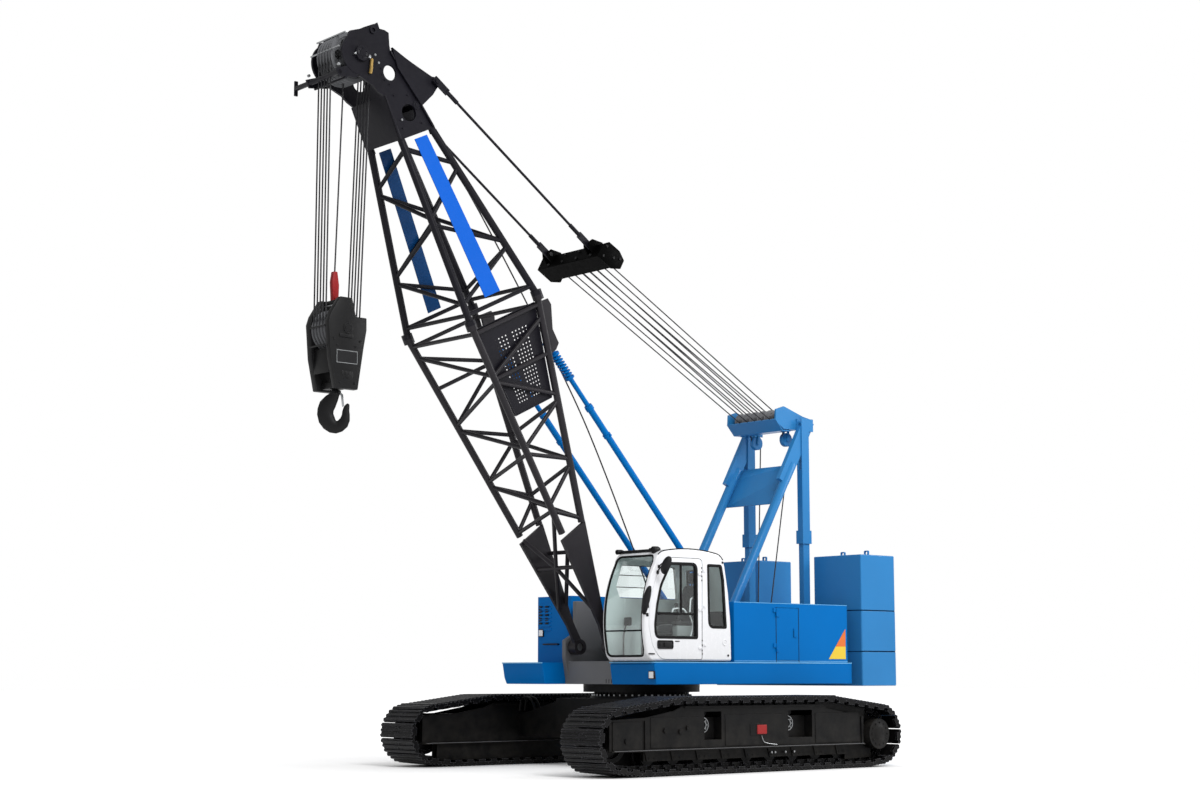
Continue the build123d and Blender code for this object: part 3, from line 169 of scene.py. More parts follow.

# %% [markdown]
# Finishes. Every surface of a new machine is a coat of something, and a coat is never one flat
# colour: it drifts a little in tone over a panel, its sheen varies, it has a fine texture, it
# rubs thin along edges, which also carry a painted highlight, and it gathers dust on what faces
# up. Each of these is needed in many finishes, so each is a node group, made once and given its
# own values in each material.

# %% Helpers for node trees
def node(tree, kind, values=None, **settings):
    """A node with its settings and the default values of its inputs."""
    made = tree.nodes.new(kind)
    for key, value in settings.items():
        setattr(made, key, value)
    for key, value in (values or {}).items():
        made.inputs[key].default_value = value
    return made


def link(tree, source, target):
    """Join an output to an input."""
    tree.links.new(source, target)


def start_group(name, inputs, outputs):
    """An empty node group with its sockets, its input node and its output node."""
    group = bpy.data.node_groups.new(name, "ShaderNodeTree")
    kinds = {"color": "NodeSocketColor", "value": "NodeSocketFloat", "vector": "NodeSocketVector"}
    for label, kind, default in inputs:
        socket = group.interface.new_socket(label, in_out="INPUT", socket_type=kinds[kind])
        if default is not None:
            socket.default_value = default
    for label, kind in outputs:
        group.interface.new_socket(label, in_out="OUTPUT", socket_type=kinds[kind])
    return group, group.nodes.new("NodeGroupInput"), group.nodes.new("NodeGroupOutput")


def feed(tree, socket, value):
    """Give an input either an output to read or a fixed value."""
    if isinstance(value, bpy.types.NodeSocket):
        link(tree, value, socket)
    else:
        socket.default_value = value


def mix_color(tree, factor, first, second):
    """Mix two colours and return the output."""
    mixer = node(tree, "ShaderNodeMix", data_type="RGBA")
    feed(tree, mixer.inputs["Factor"], factor)
    feed(tree, mixer.inputs[6], first)
    feed(tree, mixer.inputs[7], second)
    return mixer.outputs[2]


def math_node(tree, operation, first, second=0.0, clamp=False):
    """One arithmetic step and its output."""
    step = node(tree, "ShaderNodeMath", operation=operation, use_clamp=clamp)
    feed(tree, step.inputs[0], first)
    feed(tree, step.inputs[1], second)
    return step.outputs[0]


def texture(tree, kind, values, **settings):
    """A texture laid out in the object's own coordinates."""
    made = node(tree, kind, values, **settings)
    link(tree, node(tree, "ShaderNodeTexCoord").outputs["Object"], made.inputs["Vector"])
    return made


def ramp(tree, value, low, high, to_low=0.0, to_high=1.0):
    """Stretch a value between two limits, clamped."""
    stretch = node(tree, "ShaderNodeMapRange", {"From Min": low, "From Max": high,
                                                "To Min": to_low, "To Max": to_high})
    link(tree, value, stretch.inputs["Value"])
    return stretch.outputs["Result"]


def shaded(name, values):
    """A new material, its node tree and its shader, with these values on the shader."""
    look = bpy.data.materials.new(name)
    look.use_nodes = True
    shader = look.node_tree.nodes["Principled BSDF"]
    for key, value in values.items():
        shader.inputs[key].default_value = value
    return look, look.node_tree, shader


# %% [markdown]
# The first group is the drift of a sprayed coat: slow clouds that lighten and darken the
# colour, and a smaller pattern that makes the sheen uneven. Object coordinates are in metres
# here, so a scale of 0.8 is a cloud a little over a metre wide, whatever the piece.

# %% Node group: coat drift
def make_coat_drift():
    group, start, end = start_group(
        "coat_drift",
        [("Color", "color", (0.5, 0.5, 0.5, 1)), ("Amount", "value", 0.1),
         ("Cloud Scale", "value", 0.8), ("Roughness", "value", 0.4)],
        [("Color", "color"), ("Roughness", "value")])
    clouds = texture(group, "ShaderNodeTexNoise", {"Detail": 3.0, "Roughness": 0.55})
    link(group, start.outputs["Cloud Scale"], clouds.inputs["Scale"])
    fine = texture(group, "ShaderNodeTexNoise", {"Scale": 14.0, "Detail": 4.0, "Roughness": 0.6})
    swing = ramp(group, clouds.outputs["Fac"], 0.3, 0.7, -1.0, 1.0)
    level = math_node(group, "MULTIPLY_ADD", swing, start.outputs["Amount"])
    level.node.inputs[2].default_value = 1.0
    toned = node(group, "ShaderNodeVectorMath", operation="SCALE")
    link(group, start.outputs["Color"], toned.inputs[0])
    link(group, level, toned.inputs["Scale"])
    link(group, toned.outputs[0], end.inputs["Color"])
    patch = ramp(group, fine.outputs["Fac"], 0.3, 0.7, -0.06, 0.06)
    link(group, math_node(group, "ADD", start.outputs["Roughness"], patch, clamp=True),
         end.inputs["Roughness"])
    return group


# %% [markdown]
# The second group finds edges. A bevel node rounds the shading normal within a few
# millimetres of a corner, so where the rounded normal and the true one differ there is an
# edge. Broken up by noise, that mask is where handling has polished or chipped the coat, and
# it also lays a painted highlight along the edges.

# %% Node group: edge rub and painted highlight
def make_edge_rub_and_highlight():
    group, start, end = start_group(
        "edge_rub_and_highlight", [("Width", "value", 0.006), ("Broken", "value", 0.5)], [("Mask", "value")])
    rounded = node(group, "ShaderNodeBevel", samples=4)
    link(group, start.outputs["Width"], rounded.inputs["Radius"])
    true_normal = node(group, "ShaderNodeNewGeometry").outputs["Normal"]
    likeness = node(group, "ShaderNodeVectorMath", operation="DOT_PRODUCT")
    link(group, rounded.outputs["Normal"], likeness.inputs[0])
    link(group, true_normal, likeness.inputs[1])
    near = ramp(group, likeness.outputs["Value"], 0.97, 0.84)
    mask_breakup = texture(group, "ShaderNodeTexNoise", {"Scale": 22.0, "Detail": 4.0, "Roughness": 0.7})
    holes = ramp(group, mask_breakup.outputs["Fac"], 0.42, 0.58)
    kept = mix_color(group, start.outputs["Broken"], (1, 1, 1, 1), holes)
    link(group, math_node(group, "MULTIPLY", near, kept), end.inputs["Mask"])
    return group


# %% [markdown]
# The third is dust, which settles on what faces the sky and is splashed up from the ground.
# Both masks come from the geometry: the normal's upward part, and the height of the point.

# %% Node group: settled dust
def make_dust():
    group, start, end = start_group(
        "settled_dust", [("Top", "value", 0.2), ("Splash", "value", 0.2),
                         ("Splash Height", "value", 1.2)], [("Mask", "value")])
    geometry = node(group, "ShaderNodeNewGeometry")
    place = node(group, "ShaderNodeTexCoord").outputs["Object"]
    facing = node(group, "ShaderNodeSeparateXYZ")
    link(group, geometry.outputs["Normal"], facing.inputs[0])
    height = node(group, "ShaderNodeSeparateXYZ")
    link(group, place, height.inputs[0])
    grain = texture(group, "ShaderNodeTexNoise", {"Scale": 5.0, "Detail": 6.0, "Roughness": 0.68})
    top = math_node(group, "MULTIPLY", ramp(group, facing.outputs["Z"], 0.5, 1.0),
                    start.outputs["Top"])
    share = math_node(group, "DIVIDE", height.outputs["Z"], start.outputs["Splash Height"])
    low = math_node(group, "MULTIPLY", ramp(group, share, 1.0, 0.0), start.outputs["Splash"])
    both = math_node(group, "ADD", top, low)
    patchy = ramp(group, grain.outputs["Fac"], 0.35, 0.68)
    link(group, math_node(group, "MULTIPLY", both, patchy, clamp=True), end.inputs["Mask"])
    return group


# %% [markdown]
# The last shared group is texture: orange peel on a sprayed coat, the pits of a casting or
# the grain of a moulding are all fine noise of one scale or another, put out as a height.

# %% Node group: fine relief
def make_relief():
    group, start, end = start_group(
        "fine_relief", [("Scale", "value", 120.0), ("Pits", "value", 0.3)], [("Height", "value")])
    grain = texture(group, "ShaderNodeTexNoise", {"Detail": 3.0, "Roughness": 0.5})
    pits = texture(group, "ShaderNodeTexVoronoi", {}, feature="SMOOTH_F1")
    for layer, factor in ((grain, 1.0), (pits, 0.35)):
        link(group, math_node(group, "MULTIPLY", start.outputs["Scale"], factor),
             layer.inputs["Scale"])
    deep = math_node(group, "MULTIPLY", pits.outputs["Distance"], start.outputs["Pits"])
    link(group, math_node(group, "ADD", grain.outputs["Fac"], deep), end.inputs["Height"])
    return group


COAT_DRIFT = make_coat_drift()
EDGE_RUB_AND_HIGHLIGHT = make_edge_rub_and_highlight()
DUST = make_dust()
RELIEF = make_relief()
print("node groups:", [g.name for g in bpy.data.node_groups])

# %% [markdown]
# One function now mixes any coated finish from those groups. Colours are given as they would
# be read off a paint card, in 0 to 255, and turned into linear light. Values that are the same
# all over, such as the coat weight or the specular level, are set on the shader itself.

# %% Coated finishes
def card(red, green, blue):
    """A paint card's colour in linear light."""
    def linear(level):
        share = level / 255
        return share / 12.92 if share <= 0.04045 else ((share + 0.055) / 1.055) ** 2.4
    return (linear(red), linear(green), linear(blue), 1)


DUST_COLOR = card(168, 160, 148)
SPLASH_HEIGHT = 1.0
RUB_AND_HIGHLIGHT_WIDTH = 0.006


def coated(name, color, rough, drift=0.1, cloud=0.8, rub_and_highlight=0.25, rub_and_highlight_color=None, top_dust=0.1,
           splash=0.1, grain=120, pits=0.3, relief=0.02, metal=0.0, coat=0.0, specular=0.5):
    """A surface with drift, rubbed edges with a painted highlight, dust and relief."""
    made = bpy.data.materials.new(name)
    made.use_nodes = True
    tree = made.node_tree
    tree.nodes.clear()
    shader = node(tree, "ShaderNodeBsdfPrincipled", {"Coat Weight": coat, "Coat Roughness": 0.12,
                                                     "Specular IOR Level": specular})
    out = node(tree, "ShaderNodeOutputMaterial")
    link(tree, shader.outputs[0], out.inputs["Surface"])
    base = node(tree, "ShaderNodeGroup", {"Color": card(*color), "Amount": drift, "Cloud Scale":
                                          cloud, "Roughness": rough}, node_tree=COAT_DRIFT)
    edges = node(tree, "ShaderNodeGroup", {"Width": RUB_AND_HIGHLIGHT_WIDTH}, node_tree=EDGE_RUB_AND_HIGHLIGHT)
    # Edges take a brighter tone: rubbed paint, and a painted highlight along them.
    worn_and_highlit = math_node(tree, "MULTIPLY", edges.outputs["Mask"], rub_and_highlight)
    rub_and_highlight_tone = card(*(rub_and_highlight_color or [min(255, c + 70) for c in color]))
    shade = mix_color(tree, worn_and_highlit, base.outputs["Color"], rub_and_highlight_tone)
    dirt = node(tree, "ShaderNodeGroup", {"Top": top_dust, "Splash": splash, "Splash Height":
                                          SPLASH_HEIGHT}, node_tree=DUST)
    shade = mix_color(tree, dirt.outputs["Mask"], shade, DUST_COLOR)
    link(tree, shade, shader.inputs["Base Color"])
    dull = math_node(tree, "MULTIPLY", dirt.outputs["Mask"], 0.4)
    link(tree, math_node(tree, "ADD", base.outputs["Roughness"], dull, clamp=True),
         shader.inputs["Roughness"])
    shader.inputs["Metallic"].default_value = metal
    skin = node(tree, "ShaderNodeGroup", {"Scale": grain, "Pits": pits}, node_tree=RELIEF)
    bump = node(tree, "ShaderNodeBump", {"Strength": relief, "Distance": 0.01})
    link(tree, skin.outputs["Height"], bump.inputs["Height"])
    link(tree, bump.outputs["Normal"], shader.inputs["Normal"])
    return made


BLUE = coated("blue_enamel", (0, 101, 174), 0.36, drift=0.05, coat=0.01, specular=0.05,
              relief=0.012, rub_and_highlight_color=(70, 160, 225), top_dust=0.015, splash=0.01)
# A lighter copy of the blue enamel: painted light, the sky's light on the counterweight and
# A-frame.
PAINTED_SUNLIT_BLUE = coated("blue_enamel_painted_sunlit", (44, 118, 176), 0.34, drift=0.05, coat=0.06,
                   specular=0.12, relief=0.012, rub_and_highlight_color=(110, 185, 235), top_dust=0.03,
                   splash=0.02)
BOOM_BLACK = coated("boom_black_enamel", (33, 31, 35), 0.40, drift=0.15, cloud=1.6,
                    rub_and_highlight_color=(84, 84, 90), top_dust=0.06, specular=0.18)
TIP_BLACK = coated("boom_tip_enamel", (17, 16, 23), 0.42, drift=0.15, cloud=1.6,
                   rub_and_highlight_color=(70, 70, 80), top_dust=0.03, specular=0.14)
# A darker copy of the boom's black for the bridle: painted shade, as it faces forward and down.
SHADED_TACKLE_BLACK = coated("tackle_black_painted_shade", (3, 3, 3), 0.5, drift=0.2, cloud=2.0,
                      rub_and_highlight=0.1, rub_and_highlight_color=(46, 46, 50), relief=0.04, top_dust=0.0, specular=0.02)
CRAWLER_BLACK = coated("crawler_black_paint", (6, 6, 7), 0.5, drift=0.3, cloud=2.2,
                       rub_and_highlight_color=(52, 52, 54), top_dust=0.05, splash=0.05, relief=0.05, grain=90,
                       specular=0.14)
SHOE_STEEL = coated("track_shoe_steel", (10, 10, 12), 0.40, drift=0.35, cloud=3.0, metal=0.2,
                    rub_and_highlight=0.8, rub_and_highlight_color=(128, 128, 134), top_dust=0.01, splash=0.02, pits=0.8,
                    relief=0.10, grain=70, specular=0.14)
FRAME_GREY = coated("frame_grey_enamel", (104, 105, 108), 0.44, drift=0.08,
                    rub_and_highlight_color=(150, 151, 152), top_dust=0.08, specular=0.15)
CAB_WHITE = coated("cab_white_enamel", (226, 227, 230), 0.26, drift=0.02, coat=0.3, relief=0.008,
                   rub_and_highlight=0.1, rub_and_highlight_color=(245, 245, 245), top_dust=0.03, splash=0.02, specular=0.3)
RUBBER = coated("seal_rubber", (14, 14, 15), 0.62, rub_and_highlight=0.1, relief=0.03, grain=200, specular=0.15)
PLASTIC = coated("black_moulding", (20, 20, 22), 0.48, drift=0.08, rub_and_highlight=0.15, relief=0.06,
                 grain=320, specular=0.2)
INTERIOR = coated("cab_trim", (112, 116, 116), 0.6, drift=0.06, rub_and_highlight=0.1, relief=0.05, grain=260)
BARE_STEEL = coated("bare_steel", (150, 152, 154), 0.34, drift=0.12, cloud=4.0, metal=0.85,
                    rub_and_highlight=0.2, relief=0.03, grain=180, top_dust=0.04)
BLOCK_BLACK = coated("hook_block_black", (20, 20, 21), 0.44, drift=0.2, cloud=2.0,
                     rub_and_highlight_color=(96, 96, 98), rub_and_highlight=0.4, relief=0.05, grain=80, pits=0.6,
                     specular=0.15, top_dust=0.05)
BRASS = coated("switch_brass", (150, 122, 62), 0.42, drift=0.15, metal=0.5, rub_and_highlight=0.2)
RED = coated("red_enamel", (140, 24, 26), 0.45, rub_and_highlight=0.3, specular=0.2)
BRIGHT_BOARD = coated("near_board_blue", (10, 88, 190), 0.38, drift=0.03, rub_and_highlight=0.1, relief=0.01,
                      specular=0.12)
# The far board is a darker copy of the near board's blue: painted shade on the side facing away.
SHADED_FAR_BOARD = coated("far_board_blue_painted_shade", (8, 60, 110), 0.42, drift=0.03, rub_and_highlight=0.1, relief=0.01,
                    specular=0.12)
print("coated finishes:", len(bpy.data.materials))

# %% [markdown]
# Modelling helpers. A machine is mostly bars, plates, boxes and turned parts, so a few short
# functions on a bmesh cover nearly all of it. Each starts from a create operator or from a few
# points, and each adds to the bmesh it is given, so that one piece can be many bodies.

# %% Modelling helpers
def frame_at(origin, x_dir, z_dir):
    """A matrix whose Z is one direction and whose X lies near another."""
    z = z_dir.normalized()
    y = z.cross(x_dir).normalized()
    x = y.cross(z)
    turn = Matrix((x, y, z)).transposed().to_4x4()
    return Matrix.Translation(origin) @ turn


def upright(x, y):
    """A spot whose plane stands upright along the machine: X forwards, Y up, Z to the right."""
    return frame_at(Vector((x, y, 0)), FORWARD, -LEFT)


def bar(bm, start, end, radius, sides=16):
    """A round bar."""
    run = end - start
    spot = frame_at((start + end) / 2, LEFT if abs(run.normalized().y) < 0.9 else UP, run)
    bmesh.ops.create_cone(bm, cap_ends=True, segments=sides, radius1=radius, radius2=radius,
                          depth=run.length, matrix=spot)


def round_edges(bm, verts, width, steps=2, sharp=30):
    """Bevel the sharp edges between these vertices."""
    inside = set(verts)
    edges = {e for v in verts for e in v.link_edges
             if e.other_vert(v) in inside and e.calc_face_angle(0) > math.radians(sharp)}
    bmesh.ops.bevel(bm, geom=list(edges), offset=width, offset_type="OFFSET", segments=steps,
                    profile=0.5, affect="EDGES", material=-1, clamp_overlap=True)


def block(bm, low, high, edge=0.0, spot=None, steps=2):
    """A box between two corners, its edges rounded, in the frame of a spot."""
    low, high = Vector(low), Vector(high)
    place = Matrix.Translation((low + high) / 2) @ Matrix.Diagonal((*(high - low), 1))
    made = bmesh.ops.create_cube(bm, size=1, matrix=(spot or Matrix()) @ place)
    if edge:
        round_edges(bm, made["verts"], edge, steps)
    return made["verts"]


def sheet(bm, x, y, z, edge=0.0, steps=2):
    """A box of the machine from three spans, each given in either order."""
    low, high = zip(*(sorted(span) for span in (x, y, z)))
    block(bm, at(*low), at(*high), edge, steps=steps)


def circle_points(middle, radius, count):
    """Points round a circle in the plane of a plate."""
    turns = [2 * math.pi * i / count for i in range(count)]
    return [(middle[0] + radius * math.cos(t), middle[1] + radius * math.sin(t)) for t in turns]


def plate(bm, outline, thickness, spot, edge=0.0, holes=(), steps=2):
    """A flat plate in the XY plane of a spot, thick along its Z, with holes if given."""
    loops = [[bm.verts.new(spot @ Vector((x, y, 0))) for x, y in loop]
             for loop in (outline, *holes)]
    edges = [bm.edges.new((a, b)) for loop in loops for a, b in zip(loop, loop[1:] + loop[:1])]
    if len(loops) == 2 and len(loops[0]) == len(loops[1]):
        rim, hole = loops
        faces = [bm.faces.new((rim[i - 1], rim[i], hole[i], hole[i - 1])) for i in range(len(rim))]
    elif holes:
        filled = bmesh.ops.triangle_fill(bm, use_beauty=True, use_dissolve=False, edges=edges)
        faces = [f for f in filled["geom"] if isinstance(f, bmesh.types.BMFace)]
    else:
        faces = bmesh.ops.contextual_create(bm, geom=edges)["faces"]
    raised = bmesh.ops.extrude_face_region(bm, geom=faces)["geom"]
    verts = [g for g in raised if isinstance(g, bmesh.types.BMVert)]
    shift = spot.to_3x3() @ Vector((0, 0, thickness))
    bmesh.ops.translate(bm, verts=verts, vec=shift)
    if edge:
        whole = list({v for f in faces for v in f.verts} | set(verts))
        round_edges(bm, whole, edge, steps, sharp=50)


def turned(bm, profile, spot, steps=32):
    """A turned part: profile points (radius, height) spun about the Z of a spot."""
    before = set(bm.verts)
    verts = [bm.verts.new(spot @ Vector((r, 0, h))) for r, h in profile]
    edges = [bm.edges.new((a, b)) for a, b in zip(verts, verts[1:])]
    bmesh.ops.spin(bm, geom=verts + edges, cent=spot.translation, axis=spot.to_3x3() @ UP,
                   angle=2 * math.pi, steps=steps, use_merge=True, use_duplicate=False)
    made = [v for v in bm.verts if v not in before]
    bmesh.ops.remove_doubles(bm, verts=made, dist=1e-5)


def hose(bm, points, radius, sides=4, smooth=True):
    """A bent round bar through points: a curve with a round bevel, made a mesh."""
    curve = bpy.data.curves.new("path", "CURVE")
    curve.dimensions = "3D"
    curve.bevel_depth = radius
    curve.bevel_resolution = sides
    curve.resolution_u = 6
    curve.use_fill_caps = True
    spline = curve.splines.new("NURBS" if smooth else "POLY")
    spline.points.add(len(points) - 1)
    for spot, point in zip(spline.points, points):
        spot.co = (*point, 1)
    if smooth:
        spline.order_u = 3
        spline.use_endpoint_u = True
    holder = bpy.data.objects.new("path", curve)
    mesh = bpy.data.meshes.new_from_object(holder)
    bm.from_mesh(mesh)
    bpy.data.objects.remove(holder)
    bpy.data.curves.remove(curve)
    bpy.data.meshes.remove(mesh)


def keep_looks(bm):
    """Mark every face as painted already."""
    done = bm.faces.layers.int.new("painted")
    for face in bm.faces:
        face[done] = 1


def paint(bm, index):
    """Give everything added since the last call the piece's finish of this number."""
    done = bm.faces.layers.int.get("painted") or bm.faces.layers.int.new("painted")
    for face in bm.faces:
        if not face[done]:
            face.material_index = index
            face[done] = 1


def finish_piece(name, bm, body, looks, replaces=(), crease=38):
    """Close a bmesh as a piece that rides on a body of the crane."""
    bmesh.ops.recalc_face_normals(bm, faces=bm.faces)
    for face in bm.faces:
        face.smooth = True
    for e in bm.edges:
        e.smooth = e.calc_face_angle(0) < math.radians(crease)
    mesh = bpy.data.meshes.new(name)
    done = bm.faces.layers.int.get("painted")
    if done:
        bm.faces.layers.int.remove(done)
    bm.to_mesh(mesh)
    bm.free()
    for look in looks:
        mesh.materials.append(look)
    piece = bpy.data.objects.new(name, mesh)
    scene.collection.objects.link(piece)
    if body:
        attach(piece, body)
    if replaces:
        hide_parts(*replaces)
    print(f"{name}: {len(mesh.polygons)} faces")
    return piece


# %% [markdown]
# The floor is a plain pale sheet. To the camera it also glows a little, which lifts it to the
# white of the sky, and the glow fades within half a metre of the tracks, which paints a dark
# contact shadow along them. The fade is measured from the two rectangles on which the tracks
# stand.

# %% Floor finish
floor_look, floor_tree, floor_shader = shaded("pale_floor", {
    "Roughness": 0.9, "Specular IOR Level": 0.1, "Base Color": (0.86, 0.86, 0.86, 1),
    "Emission Color": (1, 1, 1, 1)})
floor_seen = node(floor_tree, "ShaderNodeLightPath")
glow = math_node(floor_tree, "MAXIMUM", floor_seen.outputs["Is Camera Ray"],
                 floor_seen.outputs["Is Glossy Ray"])
place = node(floor_tree, "ShaderNodeSeparateXYZ")
link(floor_tree, node(floor_tree, "ShaderNodeTexCoord").outputs["Object"], place.inputs[0])
reach = []
for axis, middles, half in (("X", (at(0, 0, 0).x, 0.0), 2.62), ("Y", (0.0, 2.075), 0.36)):
    off = math_node(floor_tree, "SUBTRACT", place.outputs[axis], middles[0])
    off = math_node(floor_tree, "SUBTRACT", math_node(floor_tree, "ABSOLUTE", off), middles[1])
    off = math_node(floor_tree, "SUBTRACT", math_node(floor_tree, "ABSOLUTE", off), half)
    reach.append(math_node(floor_tree, "POWER", math_node(floor_tree, "MAXIMUM", off, 0.0), 2.0))
away = math_node(floor_tree, "SQRT", math_node(floor_tree, "ADD", *reach))
# Near the tracks the glow falls to nothing: a painted contact shadow on the floor.
glow_with_painted_contact_shadow = ramp(floor_tree, away, 0.02, 0.5, 0.0, FLOOR_GLOW[0])
share = math_node(floor_tree, "ADD", glow_with_painted_contact_shadow,
                  ramp(floor_tree, away, 0.5, 9.0, 0.0, FLOOR_GLOW[1] - FLOOR_GLOW[0]))
link(floor_tree, math_node(floor_tree, "MULTIPLY", glow, share),
     floor_shader.inputs["Emission Strength"])
floor_data.materials.append(floor_look)

# %% [markdown]
# The frame's own pieces keep their shape and get their coat. Sheet metal and castings never
# end in a knife edge, so most of them also get a narrow bevel as a modifier: the mesh itself
# is left alone, and a weld first joins its loose triangles so that the bevel finds the edges.

# %% Coats for the frame's pieces
def dress(names, look, edge=0.0, steps=2):
    """Coat pieces of the frame, and round their edges."""
    for name in names:
        piece = NODES[name]
        piece.data.materials.clear()
        piece.data.materials.append(look)
        if edge:
            weld = piece.modifiers.new("weld", "WELD")
            weld.merge_threshold = 0.0002
            bevel = piece.modifiers.new("edges", "BEVEL")
            bevel.width = edge
            bevel.segments = steps
            bevel.limit_method = "ANGLE"
            bevel.angle_limit = math.radians(40)
            bevel.use_clamp_overlap = True
            bevel.harden_normals = True


SIDES = (("left", 1), ("right", -1))
dress([f"{name}_{side}" for name in ("house", "deck") for side, _ in SIDES], BLUE,
      edge=0.012)
dress(["house_door_left", "house_door_right"], BLUE, edge=0.006)
# The counterweight and the A-frame get the lighter copy of the blue: painted light.
dress(["counterweight_base", "counterweight_middle", "counterweight_top_left",
       "counterweight_top_right"], PAINTED_SUNLIT_BLUE, edge=0.02, steps=3)
dress(["aframe_front_legs", "aframe_rear_legs", "aframe_head"], PAINTED_SUNLIT_BLUE, edge=0.006)
dress(["backstop_tubes"], BLUE)
dress(["main_frame"], FRAME_GREY, edge=0.008)
dress(["boom_foot_pins"], BARE_STEEL, edge=0.006)
dress(["engine"], FRAME_GREY, edge=0.03)
dress(["carbody", "side_frame_left", "side_frame_right"], CRAWLER_BLACK,
      edge=0.012)
dress(["slew_ring_outer", "slew_ring_inner"], CRAWLER_BLACK)
for section, look in (("base", BOOM_BLACK), ("tip", TIP_BLACK)):
    dress([f"boom_{section}_{side}" for side in ("left", "right", "front", "back")], look)
dress(["pendants"], TIP_BLACK)
dress(["boom_head"], TIP_BLACK, edge=0.006)

# %% [markdown]
# A track is a loop of cast shoes, each pinned to the next. The loop runs flat on the ground,
# round the front idler, up a short slope, along the top and down to the sprocket. Here its
# line is worked out from the frame's own box and a few sizes, and one shoe is modelled and set
# down at equal steps along that line, turned to lie along it. A shoe is repeated over a
# hundred times, so it has few faces: its relief is what catches the light.

# %% The line of a track
TRACK_LOW, TRACK_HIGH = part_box("track_left")
TRACK_Y = (TRACK_LOW.y + TRACK_HIGH.y) / 2
TRACK_HALF = (TRACK_HIGH.y - TRACK_LOW.y) / 2
WHEEL_X, WHEEL_Z = 2.55, 0.48
TRACK_END = 2.993
GROUND_KNEE, TOP_KNEE, TRACK_TOP = 2.23, 1.472, TRACK_HIGH.z
SHOES = 58
PITCH_LINE = 0.052            # inside the outer face of a shoe
SHOE_CLEAR = 0.004            # draws the line in, as the corners of turning shoes reach out


def track_line(inset):
    """Points (x, z) of the closed line round a track, inset from the outside of its shoes."""
    radius = TRACK_END - WHEEL_X - inset

    def touch(x, z, turn):
        away = math.atan2(z - WHEEL_Z, x - WHEEL_X)
        return away + turn * math.acos(radius / math.hypot(x - WHEEL_X, z - WHEEL_Z))

    start = touch(GROUND_KNEE, inset, 1)
    end = touch(TOP_KNEE, TRACK_TOP - inset, -1)
    turns = [start + (end - start) * i / 40 for i in range(41)]
    front = [(GROUND_KNEE, inset)]
    front += [(WHEEL_X + radius * math.cos(t), WHEEL_Z + radius * math.sin(t)) for t in turns]
    front += [(TOP_KNEE, TRACK_TOP - inset)]
    return front + [(-x, z) for x, z in reversed(front)]


def walk(line, share):
    """The place and direction at a share of a closed line's length."""
    runs = [math.dist(a, b) for a, b in zip(line, line[1:] + line[:1])]
    left = share % 1.0 * sum(runs)
    for (a, b), run in zip(zip(line, line[1:] + line[:1]), runs):
        if left <= run:
            t = left / run
            way = ((b[0] - a[0]) / run, (b[1] - a[1]) / run)
            return (a[0] + (b[0] - a[0]) * t, a[1] + (b[1] - a[1]) * t), way
        left -= run
    return line[0], (1, 0)


LINE = track_line(PITCH_LINE + SHOE_CLEAR)
PITCH = sum(math.dist(a, b) for a, b in zip(LINE, LINE[1:] + LINE[:1])) / SHOES
print("shoe pitch:", round(PITCH, 4), "m")

# %% Track shoes
def add_shoe(bm, spot):
    """One shoe: a plate with three low ribs, bolts, turned-in ends, overlapping links, a pin."""
    half = PITCH * 0.486
    lip = PITCH_LINE - 0.020
    block(bm, (-half, -TRACK_HALF, lip - 0.036), (half, TRACK_HALF, lip), spot=spot)
    for middle, width in ((-0.70, 0.20), (0.0, 0.22), (0.70, 0.20)):
        x = middle * half
        rib = block(bm, (x - width * half, -TRACK_HALF, lip),
                    (x + width * half, TRACK_HALF, PITCH_LINE - 0.001), spot=spot)
        for vert in rib:
            local = spot.inverted() @ vert.co
            if local.z > lip + 0.01:
                vert.co = spot @ Vector((x + (local.x - x) * 0.6, local.y * 0.99, local.z))
    for x in (-0.35, 0.35):
        for y in (-0.03, 0.03):
            bar(bm, spot @ Vector((x * half, y, lip)), spot @ Vector((x * half, y, lip + 0.010)),
                0.011, sides=6)
    for side in (-1, 1):
        ends = sorted((side * TRACK_HALF, side * (TRACK_HALF - 0.04)))
        block(bm, (-half * 0.55, ends[0], lip - 0.070), (half * 0.55, ends[1], lip - 0.036),
              spot=spot)
        for x, y in ((-0.28, 0.070), (0.28, 0.102)):
            link_y = sorted((side * (y - 0.015), side * (y + 0.015)))
            block(bm, (PITCH * (x - 0.30), link_y[0], lip - 0.112),
                  (PITCH * (x + 0.30), link_y[1], lip - 0.036), spot=spot)
    pin = spot @ Vector((PITCH / 2, 0, lip - 0.074))
    bar(bm, pin - LEFT * 0.15, pin + LEFT * 0.15, 0.02, sides=6)


def make_track(name, side):
    bm = bmesh.new()
    for i in range(SHOES):
        (x, z), (run_x, run_z) = walk(LINE, (i + 0.5) / SHOES)
        spot = frame_at(at(x, side * TRACK_Y, z), Vector((run_x, 0, run_z)),
                        Vector((run_z, 0, -run_x)))
        add_shoe(bm, spot)
    finish_piece(f"shoes_{name}", bm, "crawler", [SHOE_STEEL],
                 replaces=[f"track_{name}"])


for side_name, side in SIDES:
    make_track(side_name, side)

# %% [markdown]
# Inside the loop turn an idler in front, a toothed sprocket behind and a row of rollers
# under the frame. All are turned parts, so each is one profile spun about its axle; the
# sprocket's teeth are a plate cut to a toothed outline.

